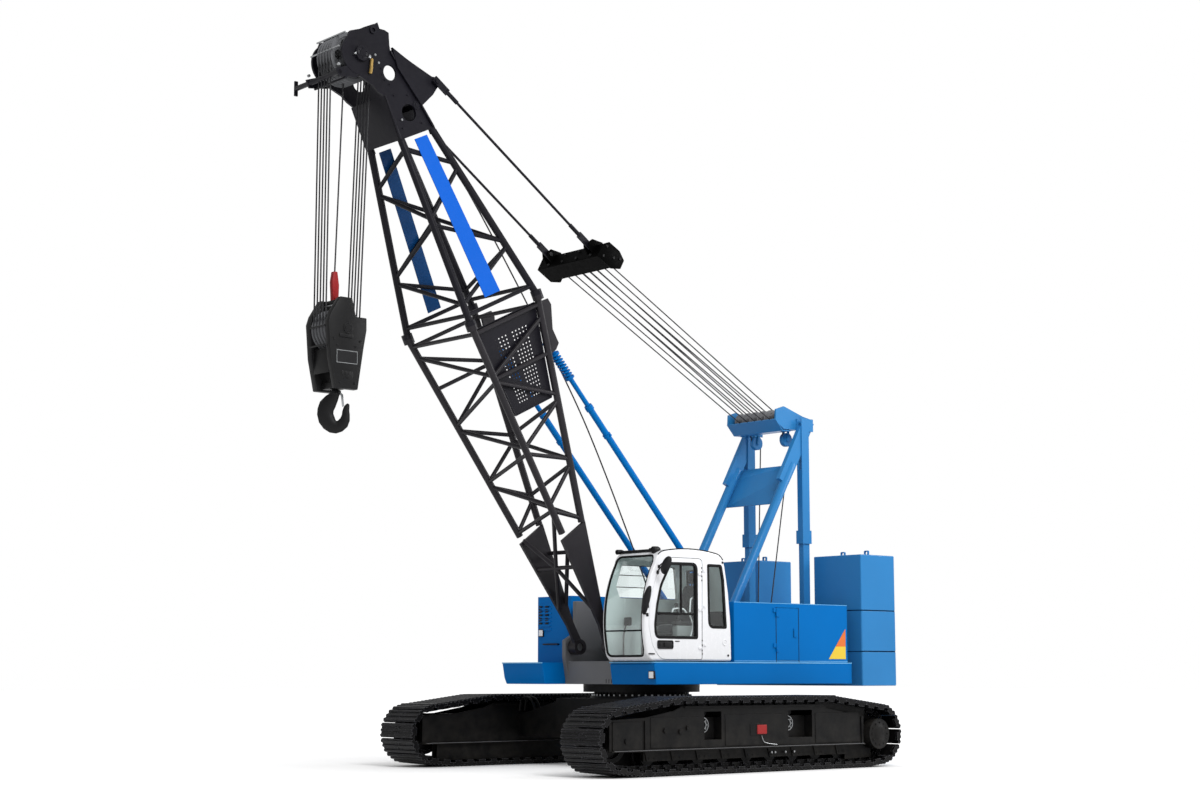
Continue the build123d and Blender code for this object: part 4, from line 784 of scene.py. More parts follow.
# %% Track wheels and rollers
IDLER = ((0, 0.108), (0.10, 0.108), (0.115, 0.075), (0.235, 0.052), (0.245, 0.098), (0.300, 0.104),
         (0.306, 0.06), (0.306, -0.06), (0.300, -0.104), (0.245, -0.098), (0.235, -0.052),
         (0.115, -0.075), (0.10, -0.108), (0, -0.108))
SPROCKET = ((0, 0.10), (0.17, 0.10), (0.185, 0.07), (0.20, 0.04), (0.20, -0.04), (0.185, -0.07),
            (0.17, -0.10), (0, -0.10))
ROLLER = ((0, 0.105), (0.116, 0.105), (0.118, 0.075), (0.098, 0.068), (0.098, -0.068),
          (0.118, -0.075), (0.116, -0.105), (0, -0.105))
TEETH = 16


def across(x, y, z):
    """A spot on an axle that lies across the machine."""
    return frame_at(at(x, y, z), FORWARD, LEFT)


def make_wheels(name, side):
    bm = bmesh.new()
    y = side * TRACK_Y
    turned(bm, IDLER, across(WHEEL_X, y, WHEEL_Z), steps=40)
    turned(bm, SPROCKET, across(-WHEEL_X, y, WHEEL_Z), steps=32)
    outline = []
    for i in range(TEETH):
        for share, radius in ((0.0, 0.250), (0.22, 0.306), (0.5, 0.310), (0.78, 0.306)):
            turn = 2 * math.pi * (i + share) / TEETH
            outline.append((radius * math.cos(turn), radius * math.sin(turn)))
    plate(bm, outline, 0.06, across(-WHEEL_X, y - 0.03, WHEEL_Z))
    for x in (WHEEL_X, -WHEEL_X):
        bar(bm, at(x, y - 0.15, WHEEL_Z), at(x, y + 0.15, WHEEL_Z), 0.075, sides=20)
    finish_piece(f"wheels_{name}", bm, "crawler", [SHOE_STEEL],
                 replaces=[f"track_wheels_{name}"])


ROLLERS = [(-1.88 + i * 0.47, 0.247, 1.0) for i in range(9)]
CARRIERS = [(-0.85, 0.848, 0.67), (0.85, 0.848, 0.67)]


def make_rollers(name, side):
    bm = bmesh.new()
    for x, z, size in ROLLERS + CARRIERS:
        profile = [(r * size, h) for r, h in ROLLER]
        turned(bm, profile, across(x, side * TRACK_Y, z), steps=20)
        if size == 1.0:
            y = side * TRACK_Y
            bar(bm, at(x, y - 0.15, z), at(x, y + 0.15, z), 0.04, sides=12)
    finish_piece(f"rollers_{name}", bm, "crawler", [SHOE_STEEL],
                 replaces=[f"track_rollers_{name}"])


for side_name, side in SIDES:
    make_wheels(side_name, side)
    make_rollers(side_name, side)

# %% [markdown]
# The track frames are welded boxes. What makes them read at full size is the small work on
# their faces: an inspection panel with its seam, a flange along the bottom, bolt heads, the
# drive's bolted cover, the roller ends in the pockets and the shoes' guards. They are all one
# piece on each side, in three finishes.

# %% Track frame fittings
FRAME_FACE = 0.28             # middle of a track to the face of its frame
PANEL_X, PANEL_Z = (2.14, 2.66), (0.35, 0.725)


def hexagons(bm, points, direction, radius, height):
    """Bolt heads at the points, standing up along a direction."""
    for point in points:
        bar(bm, point, point + direction * height, radius, sides=6)


def ring_of(centre, radius, count, axis):
    """Points on a circle about an axis."""
    spot = frame_at(centre, UP if abs(axis.z) < 0.9 else FORWARD, axis)
    return [spot @ Vector((x, y, 0)) for x, y in circle_points((0, 0), radius, count)]


def make_frame_fittings(name, side):
    bm = bmesh.new()
    out = LEFT * side
    face = side * (TRACK_Y + FRAME_FACE)
    inner = side * (TRACK_Y - FRAME_FACE)

    def cover(x, z, depth=0.012, edge=0.004, start=0.0):
        sheet(bm, x, (face + side * start, face + side * depth), z, edge, steps=1)

    for plane, turn in ((face, side), (inner, -side)):
        sheet(bm, (-2.27, 2.70), (plane, plane + turn * 0.045), (0.330, 0.346), 0.003, 1)
        sheet(bm, (-1.36, 1.36), (plane, plane + turn * 0.016), (0.895, 0.922), 0.003, 1)
    # Dark sheets inside the loop, under the frame and at its rear top, are painted shade: they keep
    # the pale floor and sky from showing through where the track is in shade.
    for plane in (inner + side * 0.03, side * (TRACK_Y - 0.135)):
        sheet(bm, (-2.42, 2.42), (plane, plane + side * 0.012), (0.095, 0.335))
        plate(bm, ((-2.34, 0.70), (-1.33, 0.86), (-1.33, 0.965), (-1.62, 0.955), (-2.34, 0.865)),
              0.012, upright(SWING_X, max(plane, plane + side * 0.012)))
    shade = upright(SWING_X, side * (TRACK_Y + 0.17))
    plate(bm, ((-2.55, 0.14), (-1.98, 0.12), (-1.98, 0.335), (-2.55, 0.335)), 0.01, shade)
    plate(bm, ((-2.42, 0.70), (-1.36, 0.84), (-1.36, 0.955), (-1.60, 0.955), (-2.42, 0.85)), 0.01,
          shade)
    cover(PANEL_X, PANEL_Z)
    for x in (2.075, -2.235):
        cover((x, x + 0.018), (0.35, 0.74), depth=0.02)
    cover((-2.17, -1.24), (0.37, 0.80), depth=0.008)
    cover((1.04, 1.98), (0.37, 0.78), depth=0.008)
    cover((-0.62, 0.58), (0.37, 0.80), depth=0.008)
    for x, z in ((1.72, 0.60), (1.44, 0.58), (1.30, 0.63), (2.42, 0.47)):
        bar(bm, at(x, face, z), at(x, face + side * 0.03, z), 0.035, sides=14)
    motor = at(-WHEEL_X, face + side * 0.07, WHEEL_Z)
    turned(bm, ((0, 0.028), (0.10, 0.028), (0.112, 0.02), (0.20, 0.0), (0.2195, -0.03)),
           frame_at(motor, UP, out), steps=36)
    hexagons(bm, ring_of(motor + out * 0.004, 0.165, 12, out), out, 0.013, 0.014)
    hub = at(WHEEL_X, face + side * 0.002, WHEEL_Z)
    hexagons(bm, ring_of(hub, 0.08, 6, out), out, 0.012, 0.012)
    for x, _, _ in ROLLERS:
        for shift in (-0.05, 0.05):
            bar(bm, at(x + shift, side * (TRACK_Y + 0.15), 0.235),
                at(x + shift, side * (TRACK_Y + 0.205), 0.235), 0.018, sides=6)
        plate(bm, ((-0.09, 0.195), (0.09, 0.195), (0.13, 0.33), (-0.13, 0.33)), 0.02,
              upright(SWING_X + x, side * (TRACK_Y + 0.19) + 0.01))
    paint(bm, 0)
    for pocket in (0.90, -0.78):
        ring = at(pocket, side * (TRACK_Y + 0.125), 0.66)
        for inner_rim in (0.052, 0.096):
            turned(bm, ((inner_rim, 0.03), (inner_rim, 0.05), (inner_rim + 0.009, 0.05),
                        (inner_rim + 0.009, 0.03)), frame_at(ring, UP, out), steps=24)
        hexagons(bm, ring_of(ring + out * 0.03, 0.078, 8, out), out, 0.009, 0.016)
    for x in (-0.40, -0.47, -0.68, -0.86):
        bar(bm, at(x, side * (TRACK_Y + 0.205), 0.26), at(x, side * (TRACK_Y + 0.225), 0.26),
            0.016, sides=8)
    hose(bm, [at(-0.12, face + side * 0.02, 0.50), at(-0.13, face + side * 0.03, 0.43),
              at(-0.19, face + side * 0.03, 0.39), at(-0.42, face + side * 0.025, 0.37)], 0.006,
         sides=2)
    paint(bm, 1)
    # A thin grey strip on the outer edge of each flange: a painted highlight along the frame's
    # lower edge.
    for plane, turn in ((face, side), (inner, -side)):
        sheet(bm, (-2.24, 2.66), (plane + turn * 0.04, plane + turn * 0.047), (0.345, 0.350))
    paint(bm, 3)
    cover((-0.03, -0.22), (0.52, 0.65), depth=0.03, edge=0.008)
    paint(bm, 2)
    cover((-0.16, 0.10), (0.50, 0.67), depth=0.016, start=0.008)
    paint(bm, 0)
    finish_piece(f"frame_fittings_{name}", bm, "crawler",
                 [CRAWLER_BLACK, BARE_STEEL, RED, FRAME_GREY])


for side_name, side in SIDES:
    make_frame_fittings(side_name, side)

# %% [markdown]
# Between the tracks the car body carries the slewing ring. Hydraulic hoses cross from its
# centre joint to each track's motor, and a folded mounting step hangs on each front corner.

# %% Car body hoses and bolts
bm = bmesh.new()
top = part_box("carbody")[1].z
hexagons(bm, ring_of(at(0, 0, top), 0.735, 48, UP), UP, 0.014, 0.022)
paint(bm, 0)
for side in (1, -1):
    for i in range(3):
        x = -0.42 - i * 0.05
        hose(bm, [at(x, side * 0.5, 0.99), at(x, side * 0.75, 1.04), at(x, side * 0.98, 0.98),
                  at(x - 0.15, side * 1.2, 0.93), at(x - 0.35, side * 1.5, 0.86),
                  at(x - 0.5, side * 1.72, 0.84)], 0.017, sides=2)
paint(bm, 1)
for side in (1, -1):
    for x in (0.93, 0.83):
        hose(bm, [at(x, side * 1.74, 0.80), at(x, side * 1.72, 0.93), at(x, side * 1.70, 1.0),
                  at(x - 0.04, side * 1.62, 1.01), at(x - 0.05, side * 1.5, 0.97),
                  at(x - 0.05, side * 1.42, 0.80)], 0.018, sides=3)
paint(bm, 2)
finish_piece("carbody_fittings", bm, "crawler", [BARE_STEEL, RUBBER, CRAWLER_BLACK])

# %% [markdown]
# Rope sheaves. A sheave is a rim with a groove, a thin web with round lightening holes and a
# hub, so its rim and hub are turned and its web is a plate. The head has five, the hook block
# five and the two luffing blocks eleven between them. Ropes lie in the grooves as half turns.

# %% Sheaves and rope
ROPE = coated("greased_rope", (30, 30, 33), 0.5, drift=0.25, cloud=6.0, metal=0.5, rub_and_highlight=0.4,
              rub_and_highlight_color=(140, 140, 142), relief=0.25, grain=240, top_dust=0.0, splash=0.0)
ROPE_RADIUS = 0.011
HEAD_GROOVE, BLOCK_GROOVE, NEST_GROOVE, BRIDLE_GROOVE = 0.324, 0.266, 0.134, 0.113
SHEAVE_Y = [-0.144 + i * 0.072 for i in range(5)]


def sheave(bm, spot, rim, width, hub, holes=6):
    """A grooved rim, a hub and a web with round holes, about the Z of a spot."""
    half = width / 2
    depth = min(0.026, rim * 0.16)
    inner = rim - depth * 2
    turned(bm, ((inner, half), (rim, half), (rim - depth, 0.15 * half), (rim - depth, -0.15 * half),
                (rim, -half), (inner, -half), (inner, half)), spot, steps=40)
    turned(bm, ((hub * 0.6, half), (hub, half), (hub, -half), (hub * 0.6, -half),
                (hub * 0.6, half)), spot, steps=24)
    middle = (inner + hub) / 2
    size = min((inner - hub) * 0.36, middle * math.pi / holes * 0.72)
    rings = [circle_points(p, size, 14) for p in circle_points((0, 0), middle, holes)]
    rings.append(circle_points((0, 0), hub * 0.8, 24))
    web = spot @ Matrix.Translation((0, 0, -half * 0.25))
    plate(bm, circle_points((0, 0), inner + depth * 0.3, 40), half * 0.5, web, holes=rings)


def strand(bm, start, end, radius=ROPE_RADIUS):
    """A straight run of rope."""
    bar(bm, start, end, radius, sides=8)


def wrap(bm, centre, radius, first, last, rope=ROPE_RADIUS):
    """Rope lying in a groove, from one angle to another in the XZ plane, in degrees."""
    turns = [math.radians(first + (last - first) * i / 16) for i in range(17)]
    hose(bm, [centre + Vector((radius * math.cos(t), 0, radius * math.sin(t))) for t in turns],
         rope, sides=1, smooth=False)


bm = bmesh.new()
for y in SHEAVE_Y:
    sheave(bm, frame_at(HEAD_SHAFT + LEFT * y, FORWARD, LEFT), 0.349, 0.05, 0.10)
paint(bm, 0)
for y in SHEAVE_Y:
    wrap(bm, HEAD_SHAFT + LEFT * y, HEAD_GROOVE, 0, 180)
paint(bm, 1)
finish_piece("head_sheave_row", bm, "head_sheaves", [FRAME_GREY, ROPE],
             replaces=["head_sheaves"])

# %% [markdown]
# The hook block hangs in ten falls of rope. Its two cheeks are cast weights that taper
# downwards; between them sit five sheaves and the crosshead that carries the hook. The
# ropes' dead end is a red wedge socket pinned between the cheeks. The falls belong to no
# single body: they stretch between the head and the block, whatever the height of the hook.

# %% Hook block
BLOCK = Vector((HEAD_SHAFT.x + 0.06, 0, 5.93))
CHEEK = ((-0.170, 5.112), (-0.254, 5.677), (-0.299, 5.933), (-0.296, 6.098), (-0.125, 6.098),
         (-0.060, 6.348), (0.130, 6.348), (0.273, 6.115), (0.309, 6.0), (0.269, 5.538),
         (0.175, 5.112))
POCKET = ([(-0.088, 5.35), (-0.088, 5.29)]
          + [(0.088 * math.cos(t), 5.29 + 0.07 * math.sin(t))
             for t in [math.radians(200 + i * 14) for i in range(11)]]
          + [(0.088, 5.29), (0.088, 5.35)])
BLOCK_BOLTS = ((-0.20, -0.16), (0.22, -0.16), (-0.13, -0.24), (0.17, -0.24), (-0.12, -0.74),
               (0.12, -0.74))
RIM_LOW, RIM_HIGH = (-0.150, 5.451), (0.180, 5.626)
RIM = [RIM_LOW, (RIM_HIGH[0], RIM_LOW[1]), RIM_HIGH, (RIM_LOW[0], RIM_HIGH[1])]
WINDOW = [(x * 0.955 + 0.0007, 5.5385 + (z - 5.5385) * 0.9) for x, z in RIM]


def on_block(x, y, z):
    """A point of the hook block, measured from its sheaves' shaft."""
    return BLOCK + Vector((x, y, z))


def cheek_face(bm, side, outline, low, high, edge=0.0, holes=()):
    """A plate on a cheek of the block, from one distance off its middle to another."""
    plate(bm, outline, high - low, upright(BLOCK.x, high if side > 0 else -low), edge, holes)


bm = bmesh.new()
for side in (1, -1):
    cheek_face(bm, side, CHEEK, 0.180, 0.284, edge=0.012)
    boss = BLOCK + LEFT * side * 0.284
    outward = frame_at(boss, FORWARD, LEFT * side)
    turned(bm, ((0, 0.020), (0.050, 0.020), (0.056, 0.012), (0.074, 0.010), (0.075, 0)), outward,
           28)
    hexagons(bm, ring_of(boss + LEFT * side * 0.010, 0.064, 6, LEFT * side), LEFT * side,
             0.009, 0.008)
    cheek_face(bm, side, ((-0.075, 5.802), (0.14, 5.802), (0.14, 5.848), (-0.075, 5.848)),
               0.283, 0.300, edge=0.005)
    cheek_face(bm, side, POCKET, 0.283, 0.292, edge=0.004)
    cheek_face(bm, side, [(-0.045, 5.35), (-0.045, 5.28), (0, 5.245), (0.045, 5.28), (0.045, 5.35)],
               0.290, 0.302, edge=0.006)
    bar(bm, on_block(0, side * 0.29, -0.62), on_block(0, side * 0.305, -0.62), 0.022, sides=20)
    hexagons(bm, [on_block(x, side * 0.284, z) for x, z in BLOCK_BOLTS], LEFT * side, 0.014, 0.012)
block(bm, on_block(-0.108, -0.181, -0.798), on_block(0.108, 0.181, -0.706), edge=0.012)
block(bm, on_block(0.022, -0.181, 0.357), on_block(0.098, 0.181, 0.403), edge=0.008)
for side in (1, -1):
    for x, z in ((side * 0.305, -0.24), (side * 0.300, 0.02)):
        bar(bm, on_block(x, -0.18, z), on_block(x, 0.18, z), 0.011, sides=10)
block(bm, on_block(0.215, -0.18, -0.60), on_block(0.231, 0.18, -0.27), edge=0.003)
block(bm, on_block(-0.229, -0.18, -0.60), on_block(-0.213, 0.18, -0.27), edge=0.003)
paint(bm, 0)
for y in SHEAVE_Y:
    sheave(bm, frame_at(BLOCK + LEFT * y, FORWARD, LEFT), 0.289, 0.05, 0.085)
paint(bm, 1)
for y in SHEAVE_Y:
    wrap(bm, BLOCK + LEFT * y, BLOCK_GROOVE, 180, 360)
paint(bm, 2)
for x, z in ((0.085, 0.335), (0.05, 0.27)):
    bar(bm, on_block(x, -0.18, z), on_block(x, 0.18, z), 0.012, sides=12)
for side in (1, -1):
    cheek_face(bm, side, RIM, 0.283, 0.2915, holes=[WINDOW])
paint(bm, 3)
for side in (1, -1):
    cheek_face(bm, side, WINDOW, 0.283, 0.2885)
paint(bm, 4)
socket = on_block(0.04, 0, 0)
plate(bm, ((-0.045, 0.40), (0.045, 0.40), (0.062, 0.66), (0.040, 0.80), (-0.020, 0.80),
           (-0.050, 0.62)), 0.07, frame_at(socket + LEFT * 0.035, FORWARD, -LEFT),
      edge=0.008)
bar(bm, socket + Vector((0, -0.05, 0.44)), socket + Vector((0, 0.05, 0.44)), 0.024, sides=16)
paint(bm, 5)
finish_piece("hook_block_body", bm, "hook_block",
             [BLOCK_BLACK, FRAME_GREY, ROPE, BARE_STEEL, PLASTIC, RED],
             replaces=["hook_block"])

# %% [markdown]
# A forged hook is never a bent bar of one size: it is deepest at its back and below, and thins
# towards the tip. So it is swept: ellipses of changing size stand along its line, and
# bridging joins each to the next. The safety latch is a small plate across its mouth.

# %% Hook
HOOK_YAW = math.radians(139)
HOOK_OUT = Vector((math.cos(HOOK_YAW), math.sin(HOOK_YAW), 0))
HOOK_SIDE = UP.cross(HOOK_OUT)
HOOK_LINE = (                 # out, height, direction in degrees, half depth, half thickness
    (-0.003, 5.110, -90, 0.064, 0.060), (-0.010, 5.070, -97, 0.068, 0.058),
    (-0.045, 5.015, -112, 0.088, 0.052), (-0.100, 4.930, -110, 0.112, 0.048),
    (-0.126, 4.860, -98, 0.110, 0.048), (-0.130, 4.800, -86, 0.110, 0.048),
    (-0.112, 4.735, -64, 0.112, 0.048), (-0.075, 4.680, -42, 0.108, 0.048),
    (-0.030, 4.640, -22, 0.098, 0.047), (0.020, 4.623, 0, 0.086, 0.045),
    (0.070, 4.638, 24, 0.080, 0.042), (0.112, 4.676, 50, 0.077, 0.039),
    (0.138, 4.730, 72, 0.066, 0.035), (0.146, 4.790, 88, 0.054, 0.030),
    (0.145, 4.840, 90, 0.048, 0.026), (0.155, 4.890, 74, 0.040, 0.022),
    (0.170, 4.925, 66, 0.026, 0.017), (0.177, 4.940, 66, 0.012, 0.009))


def swept(bm, spots):
    """Ellipses at the spots, each (matrix, half width, half height), joined into one body."""
    rings = []
    for spot, wide, high in spots:
        shape = spot @ Matrix.Diagonal((wide, high, 1, 1))
        made = bmesh.ops.create_circle(bm, cap_ends=False, segments=18, radius=1, matrix=shape)
        rings.append(list({e for v in made["verts"] for e in v.link_edges}))
    for a, b in zip(rings, rings[1:]):
        bmesh.ops.bridge_loops(bm, edges=a + b)
    for ring in (rings[0], rings[-1]):
        bmesh.ops.contextual_create(bm, geom=ring)


bm = bmesh.new()
spots = []
for out, height, heading, deep, thick in HOOK_LINE:
    way = HOOK_OUT * math.cos(math.radians(heading)) + UP * math.sin(math.radians(heading))
    place = Vector((BLOCK.x, 0, height)) + HOOK_OUT * out
    spots.append((frame_at(place, way.cross(HOOK_SIDE), way), deep, thick))
swept(bm, spots)
shank = Vector((BLOCK.x, 0, 0))
bar(bm, shank + UP * 5.062, shank + UP * 5.284, 0.0445, sides=28)
turned(bm, ((0, 5.062), (0.066, 5.062), (0.077, 5.072), (0.077, 5.108), (0.070, 5.117), (0, 5.117)),
       frame_at(shank, FORWARD, UP), 28)
bar(bm, shank + UP * 5.232, shank + UP * 5.276, 0.057, sides=6)
paint(bm, 0)
hinge = shank + HOOK_OUT * 0.082 + UP * 5.068
bar(bm, hinge - HOOK_SIDE * 0.046, hinge + HOOK_SIDE * 0.046, 0.013, sides=12)
plate(bm, ((0.060, 5.076), (0.104, 5.066), (0.121, 4.908), (0.094, 4.896), (0.076, 5.04)), 0.024,
      frame_at(shank + HOOK_SIDE * 0.012, HOOK_OUT, -HOOK_SIDE), edge=0.004)
paint(bm, 1)
finish_piece("crane_hook", bm, "hook", [BLOCK_BLACK, BARE_STEEL], replaces=["hook"])

# %% Hoist falls
bm = bmesh.new()
for y in SHEAVE_Y:
    for side in (1, -1):
        strand(bm, HEAD_SHAFT + Vector((side * HEAD_GROOVE, y, 0)),
               on_block(side * BLOCK_GROOVE, y, 0))
strand(bm, HEAD_SHAFT + Vector((0.02, 0, -0.30)), socket + Vector((0.005, 0, 0.79)))
falls = finish_piece("hoist_falls", bm, None, [ROPE])
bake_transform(falls)

# %% [markdown]
# The head of the boom is two plates with a nose of sheaves between them. On its near plate sit
# the small fittings that give it scale: the rope's wedge socket, the brass weight of the
# upper limit switch, the idler's pin, bolt heads and a flange along its rear edge.

# %% Boom head fittings
def boom_plane(y):
    """A spot whose plane is the boom's side: X along it, Y towards its back, Z to the right."""
    return frame_at(boom(0, y, 0), ALONG, ALONG.cross(BACK))


HEAD_FACE = 0.385
HEAD_BOLTS = ((8.70, -0.30), (8.78, -0.31), (8.86, -0.29), (8.62, -0.25), (8.00, -0.30),
              (7.98, 0.05), (8.40, -0.02), (8.46, -0.25))
bm = bmesh.new()
for side in (1, -1):
    face = side * HEAD_FACE
    low, high = sorted((face, face + side * 0.03))
    plate(bm, ((7.88, 0.195), (7.88, 0.222), (9.05, -0.035), (9.03, -0.058)), 0.03,
          boom_plane(high), edge=0.003)
    plate(bm, ((7.87, -0.425), (7.87, -0.398), (8.50, -0.386), (8.50, -0.408)), 0.03,
          boom_plane(high), edge=0.003)
    hexagons(bm, [boom(a, face, b) for a, b in HEAD_BOLTS], LEFT * side, 0.013, 0.014)
    shaft = boom(9.134, face + side * 0.05, -0.529)
    turned(bm, ((0, 0.018), (0.046, 0.018), (0.052, 0.010), (0.085, 0.004), (0.100, -0.01)),
           frame_at(shaft - LEFT * side * 0.008, ALONG, LEFT * side), 28)
    hexagons(bm, ring_of(shaft, 0.07, 6, LEFT * side), LEFT * side, 0.009, 0.010)
    turned(bm, ((0.030, 0.0), (0.030, 0.018), (0.052, 0.018), (0.052, 0.0)),
           frame_at(boom(9.383, face + side * 0.004, -0.201), ALONG, LEFT * side), 24)
    turned(bm, ((0, 0.022), (0.030, 0.022), (0.038, 0.012), (0.062, 0.010), (0.062, 0)),
           frame_at(boom(8.23, face, 0.07), ALONG, LEFT * side), 24)
paint(bm, 0)
for side in (1, -1):
    face = side * HEAD_FACE
    plate(bm, ((9.162, -0.672), (9.180, -0.630), (9.070, -0.405), (9.030, -0.425)), 0.045,
          boom_plane(face + side * 0.045 if side > 0 else face), edge=0.006)
    for a, b in ((9.058, -0.315), (8.941, -0.307), (8.113, -0.27)):
        bar(bm, boom(a, face, b), boom(a, face + side * 0.02, b), 0.017, sides=12)
paint(bm, 1)
hose(bm, [boom(9.013, 0.41, -0.405), boom(8.96, 0.425, -0.45), boom(8.90, 0.425, -0.48),
          boom(8.842, 0.41, -0.514)], 0.024, sides=4)
paint(bm, 2)
bar(bm, boom(9.000, -0.70, -0.960), boom(9.0, 0.385, -0.960), 0.030, sides=16)
bar(bm, boom(8.90, -0.385, -0.90), boom(8.90, 0.385, -0.90), 0.016, sides=12)
paint(bm, 0)
for y in (-0.35, 0.35):
    bar(bm, boom(9.10, y, -0.93), boom(9.10, y + math.copysign(0.03, y), -0.93), 0.020, sides=12)
for along, back in ((8.97, -0.63), (9.33, -0.80), (9.48, -0.62)):
    bar(bm, boom(along, -0.345, back), boom(along, 0.345, back), 0.012, sides=10)
paint(bm, 1)
finish_piece("head_fittings", bm, "boom", [TIP_BLACK, BARE_STEEL, BRASS])

# %% [markdown]
# Two blank boards hang along the tip section, and a perforated screen closes one side of the
# base section. The screen's holes are real: each cell of a grid gets a smaller square inside it,
# only the rim between the two is filled, and the whole sheet is then extruded.

# %% Boards and screen
def side_frame_of(start, start_half, end, end_half, side):
    """The plane of a boom section's side truss, which widens or narrows along the boom."""
    near, far = boom(start, side * start_half, 0), boom(end, side * end_half, 0)
    run = far - near
    return frame_at(near, run, run.cross(BACK)), run.length / (end - start)


BOARDS = {1: ((5.44, -0.256), (5.44, 0.037), (7.80, 0.036), (7.80, -0.197)),
          -1: ((5.38, -0.145), (5.38, 0.108), (7.78, 0), (7.78, -0.22))}
BASE_START, BASE_HALF = 1.62, 0.475      # along the boom, and half the width there
JOINT, JOINT_HALF = 5.17, 0.741
TIP_END, TIP_HALF = 7.86, 0.365
BOARD_LIFT = {1: -0.048, -1: 0.036}      # outside the truss; the plane's Z points to the right
bm = bmesh.new()
for number, (side, outline) in enumerate(BOARDS.items()):
    spot, stretch = side_frame_of(JOINT, JOINT_HALF, TIP_END, TIP_HALF, side)
    flat = [((along - JOINT) * stretch, back) for along, back in outline]
    plate(bm, flat, 0.012, spot @ Matrix.Translation((0, 0, BOARD_LIFT[side])), edge=0.002, steps=1)
    paint(bm, number)
# The far board takes the darker copy of the blue: painted shade.
finish_piece("name_boards", bm, "boom", [BRIGHT_BOARD, SHADED_FAR_BOARD],
             replaces=["boom_boards"])

SCREEN_ALONG, SCREEN_LOW, SCREEN_HIGH = (3.73, 5.08), (-0.35, -0.56), (0.38, 0.59)
SCREEN_LIFT = 0.040                      # inside the truss
SCREEN_ROWS, SCREEN_COLUMNS = 16, 24
HOLE_SHARE = 0.34                        # of a cell's half diagonal
spot, stretch = side_frame_of(BASE_START, BASE_HALF, JOINT, JOINT_HALF, 1)
bm = bmesh.new()
grid = {}
for i in range(SCREEN_COLUMNS + 1):
    low, high, along = [span[0] + (span[1] - span[0]) * (i / SCREEN_COLUMNS)
                        for span in (SCREEN_LOW, SCREEN_HIGH, SCREEN_ALONG)]
    for j in range(SCREEN_ROWS + 1):
        grid[i, j] = bm.verts.new(spot @ Vector(((along - BASE_START) * stretch,
                                                 low + (high - low) * (j / SCREEN_ROWS),
                                                 SCREEN_LIFT)))
for i in range(SCREEN_COLUMNS):
    for j in range(SCREEN_ROWS):
        cell = [grid[i, j], grid[i + 1, j], grid[i + 1, j + 1], grid[i, j + 1]]
        if 1 < i < 20 and 2 < j < 13 and j != 7 and i != 10:
            middle = sum((v.co for v in cell), Vector()) / 4
            hole = [bm.verts.new(middle.lerp(v.co, HOLE_SHARE)) for v in cell]
            for k in range(4):
                bm.faces.new((cell[k - 1], cell[k], hole[k], hole[k - 1]))
        else:
            bm.faces.new(cell)
raised = bmesh.ops.extrude_face_region(bm, geom=bm.faces[:])["geom"]
bmesh.ops.translate(bm, verts=[g for g in raised if isinstance(g, bmesh.types.BMVert)],
                    vec=spot.to_3x3() @ Vector((0, 0, 0.003)))
bmesh.ops.recalc_face_normals(bm, faces=bm.faces)
corners = [grid[i, j].co.copy() for i, j in (
    (0, 0), (SCREEN_COLUMNS, 0), (SCREEN_COLUMNS, SCREEN_ROWS), (0, SCREEN_ROWS))]
for a, b in zip(corners, corners[1:] + corners[:1]):
    bar(bm, a, b, 0.012, sides=8)
finish_piece("side_screen", bm, "boom", [TIP_BLACK], replaces=["boom_screen"])

# %% [markdown]
# The luffing tackle: six sheaves on the A-frame's head, five in a floating box, and ten
# falls between them. The falls join the two bodies, so they stretch as the boom goes down.
# From the box, two pendants go on to the boom's head.

# %% Luffing tackle
LUFF_ROPE = 0.0095            # radius
LUFF = math.radians(28.4)
LUFF_WAY = Vector((math.cos(LUFF), 0, math.sin(LUFF)))
LUFF_UP = Vector((-math.sin(LUFF), 0, math.cos(LUFF)))
NEST = at(-2.6, 0, 5.38)
BRIDLE = NEST + LUFF_WAY * 4.34
BRIDLE_SHAFT = BRIDLE - LUFF_WAY * 0.06
NEST_Y = [-0.4125 + i * 0.165 for i in range(6)]
BRIDLE_Y = [-0.33 + i * 0.165 for i in range(5)]


def luff_point(along, y, up):
    """A point of the bridle, along the falls, to the left and above them."""
    return BRIDLE + LUFF_WAY * along + LEFT * y + LUFF_UP * up


def luff_plane(y):
    """A spot at the bridle whose plane holds the falls' direction, its Z to the right."""
    return frame_at(BRIDLE + LEFT * y, LUFF_WAY, LUFF_WAY.cross(LUFF_UP))


bm = bmesh.new()
for y in NEST_Y:
    sheave(bm, frame_at(NEST + LEFT * y, LUFF_WAY, LEFT), 0.149, 0.046, 0.07, holes=5)
bar(bm, NEST - LEFT * 0.44, NEST + LEFT * 0.44, 0.069, sides=24)
paint(bm, 0)
for y in NEST_Y:
    wrap(bm, NEST + LEFT * y, NEST_GROOVE, 118.4, 298.4)
paint(bm, 1)
finish_piece("luffing_nest", bm, "luff_sheaves", [FRAME_GREY, ROPE],
             replaces=["luff_sheaves"])

